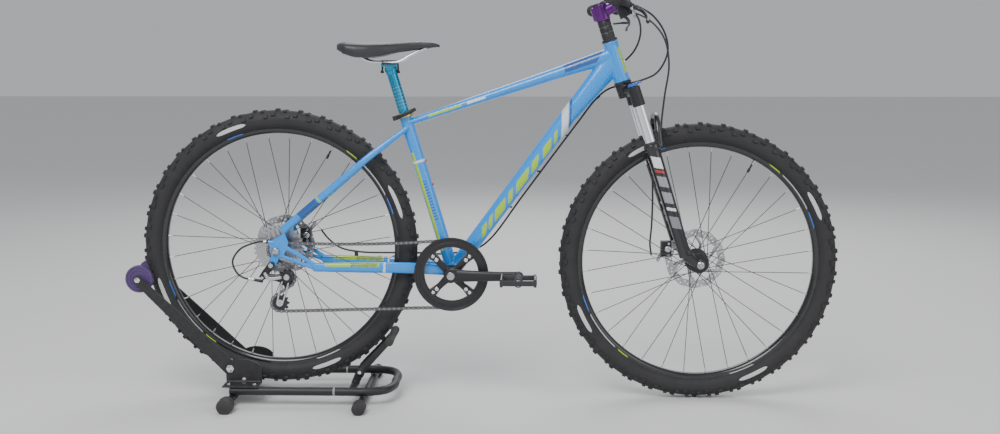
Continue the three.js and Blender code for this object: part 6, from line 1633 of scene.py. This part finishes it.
# ---------------------------------------------------------------- brakes and cables
@dataclass
class Brake:
    """A cable disc caliper with its arm, adjuster and bolts. Lengths in millimetres."""

    end: str
    centre: np.ndarray
    pivot: np.ndarray
    reach: float
    angle: float
    body: str
    bracket: np.ndarray

    def build(self) -> None:
        """Builds the caliper on its mounting bracket, and the arm."""
        shell = Skin()
        shell.block(off(self.centre, 0, 8.6), (28, 11.5, 40), taper=0.96)
        shell.block(off(self.centre, 0, -8.6), (28, 11.5, 40), taper=0.96)
        shell.block(self.centre + unit((self.centre - self.bracket) * np.array([1, 0, 1])) * 0, (27, 24, 9))
        shell.rod(off(self.pivot, 0, -8, 0), off(self.pivot, 0, -0.4, 0), 13.5, 12.5, sides=36)
        shell.fused(self.end + "_caliper_body", Finishes.SATIN_BLACK, self.body, [self.end + "_caliper"],
            0.9, 4)
        bolts = Skin()
        for z in (-15, 15):
            hex_bolt(bolts, off(self.centre, -8, 15, z), Y_AXIS, 3.6, 2.6)
            hex_bolt(bolts, off(self.centre, 6, -14.6, z), -Y_AXIS, 3.6, 2.6)
        bolts.turned([(0, 0), (8, 0), (8, 2), (6.6, 3), (0, 3.2)], off(self.centre, 4, -14.6, 0), -Y_AXIS, 28)
        bolts.piece(self.end + "_caliper_bolts", Finishes.SILVER_DETAIL, self.body)
        tip = self.pivot + np.array([math.cos(self.angle) * self.reach, 6,
            math.sin(self.angle) * self.reach]) * MM
        arm = Skin().rod(self.pivot, off(self.pivot, y=7), 9, sides=32)
        root = off(self.pivot, y=4)
        arm.sweep([root, mix(root, tip, 0.5), tip], [6.5, 5, 4.4], [3, 2.6, 3], sides=24, steps=10)
        arm.rod(tip - Y_AXIS * 4 * MM, tip + Y_AXIS * 2.4 * MM, 4.2)
        hex_bolt(arm, off(self.pivot, y=7), Y_AXIS, 5, 2.6)
        arm.piece(self.end + "_caliper_lever", Finishes.STEEL, self.end + "_caliper_arm",
            [self.end + "_caliper_arm"])


SHIFT_FRONT = ((892, -148, 1004), (914, -124, 1001), (931, -78, 978), (935, -26, 944), (924, 12, 912),
    (905, 31.5, 890), (896.5, 28.4, 884))
SHIFT_REAR = ((-22.8, -70.5, 424.6), (-38, -70.6, 425), (-60, -71, 420), (-92, -73, 405), (-112, -75, 374),
    (-101, -78, 344),
              (-82, -80, 331), (-61.8, -80.3, 327.2))
REAR_BRAKE = ((898.4, -163.4, 1023.9), (902, -140, 1026), (960, -90, 1000), (997, -50, 955),
    (1008, -10, 905), (985, 14, 858),
              (945, 26, 838), (900, 29, 827), (861, 22, 816), (829, 12, 791), (781, 8, 729), (640, 8, 539),
                  (556, 8, 425),
              (520, 18, 396), (484, 26, 386), (430, 30, 378), (360, 45, 378), (289, 53, 377), (200, 59, 378),
                  (146, 66, 388),
              (112, 72, 412), (82, 73.3, 450))
FRONT_BRAKE = ((898.4, 163.4, 1023.9), (902, 142, 1026), (968, 112, 1000), (1010, 88, 950), (1023, 72, 880),
    (1012, 60, 800),
               (1004, 50, 735), (1001, 43, 690), (985, 41.5, 635), (982, 41.5, 580), (984, 52, 520),
                   (984, 66, 450),
               (981, 70, 400), (984, 65, 372), (995, 61.5, 362))


@dataclass
class Cables:
    """The brake and shift housings with their ferrules. Lengths in millimetres."""

    radius: float = 2.5
    bare: float = 17.0

    def run(self, name: str, route: Route, steps: int, body: str = "", arm: str = "") -> bpy.types.Object:
        """One housing along its route, riding on one body or left for a blend between two.

        Args:
            name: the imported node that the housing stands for.
            route: the places that it passes.
            steps: pieces along its length.
            body: the body that it rides on, or nothing.
            arm: the caliper arm that its bare wire pulls, or nothing.

        Returns:
            The housing.
        """
        places = [at(*spot) for spot in route]
        if arm:
            back = unit(places[-2] - places[-1])
            wire = Skin().rod(places[-1], places[-1] + back * (self.bare + 4) * MM, 0.8, sides=12,
                chamfer=0.1)
            wire.piece(name + "_wire", Finishes.STEEL, arm)
            places[-1] = places[-1] + back * self.bare * MM
        return Skin().sweep(places, self.radius, sides=16, steps=steps).piece(name + "_housing",
            Finishes.CABLE, body, [name], 60)

    def build(self) -> None:
        """Builds the four housings and their ferrules."""
        front = self.run("shift_cable_front", SHIFT_FRONT, 70)
        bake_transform(front)
        self.run("shift_cable_rear", SHIFT_REAR, 60, "frame")
        brake = self.run("rear_brake_cable", REAR_BRAKE, 220, arm="rear_caliper_arm")
        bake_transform(brake)
        down = self.run("front_brake_cable", FRONT_BRAKE, 160, arm="front_caliper_arm")
        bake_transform(down)
        for name, route, body, first in (("rear_shift", SHIFT_REAR, "frame", True),
            ("derailleur", SHIFT_REAR, "frame", False),
                                         ("shift_port", SHIFT_FRONT, "frame", False)):
            ends = route[:2] if first else (route[-1], route[-2])
            a, b = at(*ends[0]), at(*ends[1])
            Skin().rod(a, a + unit(b - a) * 9 * MM, 3.3, 3.1, sides=20).piece(name + "_ferrule",
                Finishes.CHROME, body)
        spot = at(829, 12, 791)
        Skin().rod(spot, spot + unit(at(861, 22, 816) - spot) * 12 * MM, 3.4, 3.2,
            sides=20).piece("brake_ferrule", Finishes.SATIN_BLACK, "frame")


# ---------------------------------------------------------------- stand
@dataclass
class Stand:
    """The roller stand: bent base tube, feet, brackets, cradle and roller arm. Lengths in millimetres."""

    tube: float = 11.0
    half: float = 110.0
    height: float = 38.0
    back: float = -118.0
    front: float = 300.0
    bend: float = 62.0
    feet: Sequence[tuple[str, float, float]] = (("rear", -116.0, 20.0), ("front", 225.0, 17.0))
    feet_span: float = 196.0
    foot_long: float = 38.0
    foot_flat: float = 1.5
    bracket: tuple[float, float, float] = (-139.0, -45.0, 112.0)
    bracket_y: float = 70.0
    cradle_x: float = 195.0
    peg: tuple[float, float] = (291.6, 160.5)
    roller_disc: float = 36.0
    roller_half: float = 58.0

    def build(self) -> None:
        """Builds the stand's fixed parts, then the arm and the roller."""
        self.base()
        self.foot_bars()
        for name, side in (("right", -1), ("left", 1)):
            self.side_bracket(name, side)
        self.cradle()
        self.arm()
        self.roller()

    def base(self) -> None:
        """One tube bent round the front, with plugged ends and white marking rings."""
        h, f, b = self.height, self.front, self.bend
        line = [at(self.back, self.half, h), at(f - 2 * b, self.half, h), at(f - b, self.half, h),
                at(f - 0.3 * b, self.half - 0.3 * b, h), at(f, self.half - b, h), at(f, 0, h)]
        route = [*line, *[spot * np.array([1, -1, 1]) for spot in reversed(line[:-1])]]
        Skin().sweep(route, self.tube, sides=40, steps=120).piece("base_tube", Finishes.STAND_POWDER,
            "stand", ["stand_base"], 60)
        plugs = Skin()
        for side in (-1, 1):
            plugs.turned([(0, 0), (11.4, 0), (11.8, 1), (11.4, 3.2), (9, 4), (0, 4.2)],
                at(self.back + 1.5, side * self.half, h), np.array([-1.0, 0, 0]), 32)
        plugs.piece("base_plugs", Finishes.FOOT_RUBBER, "stand")
        rings = Skin()
        for side in (-1, 1):
            for x in (150, 152.6):
                rings.turned([(11, 0), (11.25, 0), (11.25, 1), (11, 1)], at(x, side * self.half, h),
                    np.array([1.0, 0, 0]), 40, True)
        rings.piece("base_marks", Finishes.WHITE_DETAIL, "stand")

    def foot_bars(self) -> None:
        """Each cross bar with its turned rubber feet, flat underneath."""
        for name, x, radius in self.feet:
            z = radius - self.foot_flat
            Skin().rod(at(x, -self.feet_span + 6, z), at(x, self.feet_span - 6, z), self.tube - 1,
                sides=36).piece(
                name + "_cross_bar", Finishes.STAND_POWDER, "stand", [name + "_foot_bar"])
            rubber = Skin()
            for side in (-1, 1):
                inner = at(x, side * (self.feet_span - self.foot_long), z)
                profile = [(10.4, 0), (radius - 3, 0.5), (radius, 2.5), (radius + 0.6, 9),
                    (radius - 0.8, 10.5), (radius - 0.8, 12), (radius + 0.4, 13.5),
                           (radius, 33), (radius - 1.4, 36.5), (radius - 5, 38), (0, 38)]
                foot = Skin().turned(profile, inner, Y_AXIS * side, 48)
                corners = foot.corners[0]
                corners[:, 2] = np.maximum(corners[:, 2], 0.0)
                rubber.add(corners, foot.faces)
            rubber.piece(name + "_feet", Finishes.FOOT_RUBBER, "stand", crease=40)
        knob = Skin()
        knob.turned([(0, 0), (9, 0), (10, 1.5), (10, 9), (8, 11), (0, 11.5)], at(225, 146, 19), Y_AXIS, 30)
        knob.rod(at(225, 140, 30), at(225, 140, 44), 4)
        knob.piece("levelling_screw", Finishes.CHROME, "stand")

    def side_bracket(self, name: str, side: int) -> None:
        """A domed plate on its flange, with the pivot bolt and a dome nut."""
        back, front, top = self.bracket
        low = self.height + self.tube + 0.3
        middle, half = (back + front) / 2, (front - back) / 2
        dome = [at(middle + half * math.cos(a), side * self.bracket_y,
            top - half * 0.6 + half * 0.6 * math.sin(a)) for a in np.linspace(0, math.pi, 40)]
        outline = [at(front - 2, side * self.bracket_y, low), at(front, side * self.bracket_y, low + 3),
            *dome, at(back, side * self.bracket_y, low + 3),
                   at(back + 2, side * self.bracket_y, low)]
        plate = Skin().plate(outline, Y_AXIS * side * 3 * MM)
        plate.block(at(middle, side * (self.bracket_y + 25.6), low + 1.5), (2 * half, 51, 3), taper=0.985)
        plate.sweep([at(back + 2, side * 73, low + 3.2), at(front - 2, side * 73, low + 3.2)], 3, sides=12)
        plate.piece(name + "_bracket_plate", Finishes.STAND_POWDER, "stand", ["rear_bracket_" + name], 30)
        bolts = Skin()
        pivot = at(-128, side * 73, 87)
        bolts.turned([(0, 0), (10.5, 0), (10.5, 1.4), (8, 1.6), (8, 6.4), (6.6, 7), (0, 7.2)], pivot,
            Y_AXIS * side, 6)
        bolts.turned([(0, 0), (6, 0), (6, 1.2), (4.6, 3), (0, 3.6)], at(middle, side * 73, low + 9),
            Y_AXIS * side, 24)
        for x in (back + 14, front - 14):
            bolts.turned([(0, 0), (5.6, 0), (5.4, 2), (3.4, 3.4), (0, 3.8)], at(x, side * 100, low + 3),
                np.array([0, 0, 1.0]), 24)
        bolts.piece(name + "_bracket_bolts", Finishes.CHROME, "stand")

    def cradle(self) -> None:
        """The posts ahead of the tyre, with the sleeved peg that stops it."""
        steel = Skin().rod(at(self.cradle_x, -99, self.height), at(self.cradle_x, 99, self.height), 9,
            sides=36)
        peg = at(self.peg[0], 0, self.peg[1])
        for side in (-1, 1):
            y = side * 40
            elbow = at(self.cradle_x + 14, y, self.height + 34)
            steel.sweep([at(self.cradle_x, y, self.height), elbow], [11, 11], 2.5, sides=24)
            steel.sweep([elbow, off(peg, y=y)], [10, 8], 2.5, sides=24)
            steel.rod(off(elbow, y=-6.5), off(elbow, y=6.5), 9, sides=28)
        steel.fused("cradle_posts", Finishes.STAND_POWDER, "stand", ["front_cradle"], 1.0, 3)
        sleeve = Skin()
        sleeve.turned([(0, -75), (9, -75), (11, -73), (11, -50), (10.2, -48), (10.2, 48), (11, 50), (11, 73),
            (9, 75), (0, 75)], peg, segments=40)
        sleeve.piece("cradle_sleeve", Finishes.FOOT_RUBBER, "stand", crease=30)
        bolts = Skin()
        for side in (-1, 1):
            elbow = at(self.cradle_x + 14, side * 47, self.height + 34)
            hex_bolt(bolts, elbow, Y_AXIS * side, 5, 3.4)
        bolts.piece("cradle_bolts", Finishes.CHROME, "stand")

    def arm(self) -> None:
        """Both arm plates with rolled edges, and the shaft between them."""
        pivot, roller = joint_place("roller_arm_fold"), joint_place("roller_spin")
        heading = unit(roller - pivot)
        across = np.cross(Y_AXIS, heading)
        plates = Skin()
        for side in (-1, 1):
            outline = []
            for centre, radius, start in ((pivot, 19, math.pi), (roller, 11, 0)):
                for turn in np.linspace(start - math.pi / 2, start + math.pi / 2, 16):
                    outline.append(
                        centre + heading * math.cos(turn) * radius * MM + across * math.sin(
                            turn) * radius * MM)
            inner = [p + Y_AXIS * side * 65.7 * MM for p in outline]
            plates.plate(inner, Y_AXIS * side * 4 * MM)
            for way in (-1, 1):
                route = [pivot + across * way * 17.6 * MM,
                    mix(pivot, roller, 0.5) + across * way * 13.8 * MM, roller + across * way * 9.6 * MM]
                plates.sweep([p + Y_AXIS * side * 67.7 * MM for p in route], 2.0, 2.0, sides=16, steps=8)
        plates.rod(roller - Y_AXIS * 68.7 * MM, roller + Y_AXIS * 68.7 * MM, 3.9)
        plates.piece("arm_plates", Finishes.STAND_POWDER, "roller_arm", ["roller_arm"], 30)
        nuts = Skin()
        for side in (-1, 1):
            nuts.turned([(0, 0), (8, 0), (8, 1), (6, 1.2), (6, 3.6), (3.5, 4.6), (0, 4.8)],
                roller + Y_AXIS * side * 69.6 * MM, Y_AXIS * side, 6)
        nuts.piece("roller_nuts", Finishes.CHROME, "roller_arm")

    def roller(self) -> None:
        """The roller: ringed discs with dark caps on a slim knurled core."""
        centre, disc, half = joint_place("roller_spin"), self.roller_disc, self.roller_half
        shape = Skin()
        for side in (-1, 1):
            inner = half - 14
            profile = [(4.4, inner), (disc - 1.5, inner), (disc, inner + 1.5), (disc, half - 2.5),
                (disc - 1.2, half - 0.6), (disc - 5, half),
                       (disc - 6, half - 1.6), (disc - 9, half - 1.6), (disc - 10, half - 0.2),
                           (disc - 13, half - 0.2), (disc - 14, half - 1.8),
                       (disc - 18, half - 1.8), (disc - 19, half - 0.4), (9, half), (4.4, half)]
            shape.turned(profile, centre, Y_AXIS * side, 96, True)
        shape.piece("roller_discs", Finishes.PURPLE_PLASTIC, "roller", ["arm_roller"], 25)
        core = Skin().turned([(4.4, -44), (8, -44), (8, 44), (4.4, 44)], centre, segments=40, ring=True)
        for i in range(24):
            a = 2 * math.pi * i / 24
            out = np.array([math.cos(a), 0, math.sin(a)])
            core.block(centre + out * 7.9 * MM, (1.0, 86, 0.5),
                np.array([np.cross(Y_AXIS, out), Y_AXIS, out]))
        core.piece("roller_core", Finishes.STEEL, "roller")


# ---------------------------------------------------------------- studio
@dataclass
class Studio:
    """A pale floor, soft lights and the camera."""

    camera_at: tuple[float, float, float] = (0.1248, -2.9452, 0.8748)
    camera_turn: tuple[float, float, float] = (82.4, 0.0, 1.46)
    lens: float = 40.7

    def build(self) -> None:
        """Sets up the floor, lights, sky and camera."""
        self.camera()
        self.floor()
        for name, place, size, power in (("key", (-1.2, -2.6, 3.6), 2.2, 120),
            ("fill", (3.2, -2.4, 2.2), 3.0, 40), ("back", (0.4, 3.0, 3.2), 3.0, 80),
                                         ("front", (0.2, -4.2, 1.0), 3.2, 14)):
            self.light(name, place, size, power)
        world = bpy.data.worlds.new("studio_air")
        bpy.context.scene.world = world
        world.use_nodes = True
        world.node_tree.nodes["Background"].inputs["Color"].default_value = (0.93, 0.95, 1.0, 1.0)
        world.node_tree.nodes["Background"].inputs["Strength"].default_value = 0.5

    def camera(self) -> None:
        """The camera, level across, looking slightly down."""
        data = bpy.data.cameras.new("view")
        data.lens = self.lens
        data.sensor_width = 36.0
        eye = bpy.data.objects.new("view", data)
        eye.location = self.camera_at
        eye.rotation_euler = tuple(math.radians(turn) for turn in self.camera_turn)
        bpy.context.scene.collection.objects.link(eye)
        bpy.context.scene.camera = eye

    def floor(self) -> None:
        """A wide pale floor."""
        reach = 30.0
        mesh = bpy.data.meshes.new("floor")
        mesh.from_pydata([(-reach, -reach, 0), (reach, -reach, 0), (reach, reach, 0), (-reach, reach, 0)],
            [], [(0, 1, 2, 3)])
        floor = bpy.data.objects.new("floor", mesh)
        bpy.context.scene.collection.objects.link(floor)
        material = bpy.data.materials.new("floor")
        material.use_nodes = True
        shader = material.node_tree.nodes["Principled BSDF"]
        shader.inputs["Base Color"].default_value = (0.74, 0.74, 0.73, 1.0)
        shader.inputs["Roughness"].default_value = 0.75
        mesh.materials.append(material)

    def light(self, name: str, place: tuple[float, float, float], size: float, power: float) -> None:
        """One soft square light aimed at the bicycle's middle."""
        data = bpy.data.lights.new(name, "AREA")
        data.size = size
        data.energy = power
        lamp = bpy.data.objects.new(name, data)
        lamp.location = place
        aim = Vector((0.0, 0.0, 0.5)) - Vector(place)
        lamp.rotation_euler = aim.to_track_quat("-Z", "Y").to_euler()
        bpy.context.scene.collection.objects.link(lamp)


def main() -> None:
    """Builds the studio, the bicycle and its stand."""
    logging.basicConfig(level=logging.INFO, format="%(message)s")
    Studio().build()
    rear_wheel().build()
    front_wheel().build()
    FrameSet().build()
    Seat().build()
    Fork().build()
    Cockpit().build()
    Drive().build()
    quick_release("rear", REAR_WHEEL, 73.3, 8.0, "rear_axle_lever")
    rear_pivot, front_pivot = joint_place("rear_caliper_pull"), joint_place("front_caliper_pull")
    Brake("rear", off(rear_pivot, y=-15.3), rear_pivot, 36.0, 0.95, "frame", REAR_WHEEL).build()
    Brake("front", off(front_pivot, y=-15.3), front_pivot, 40.0, -2.05, "fork_lowers", FRONT_WHEEL).build()
    Cables().build()
    Stand().build()
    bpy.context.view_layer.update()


if __name__ == "__main__":
    main()
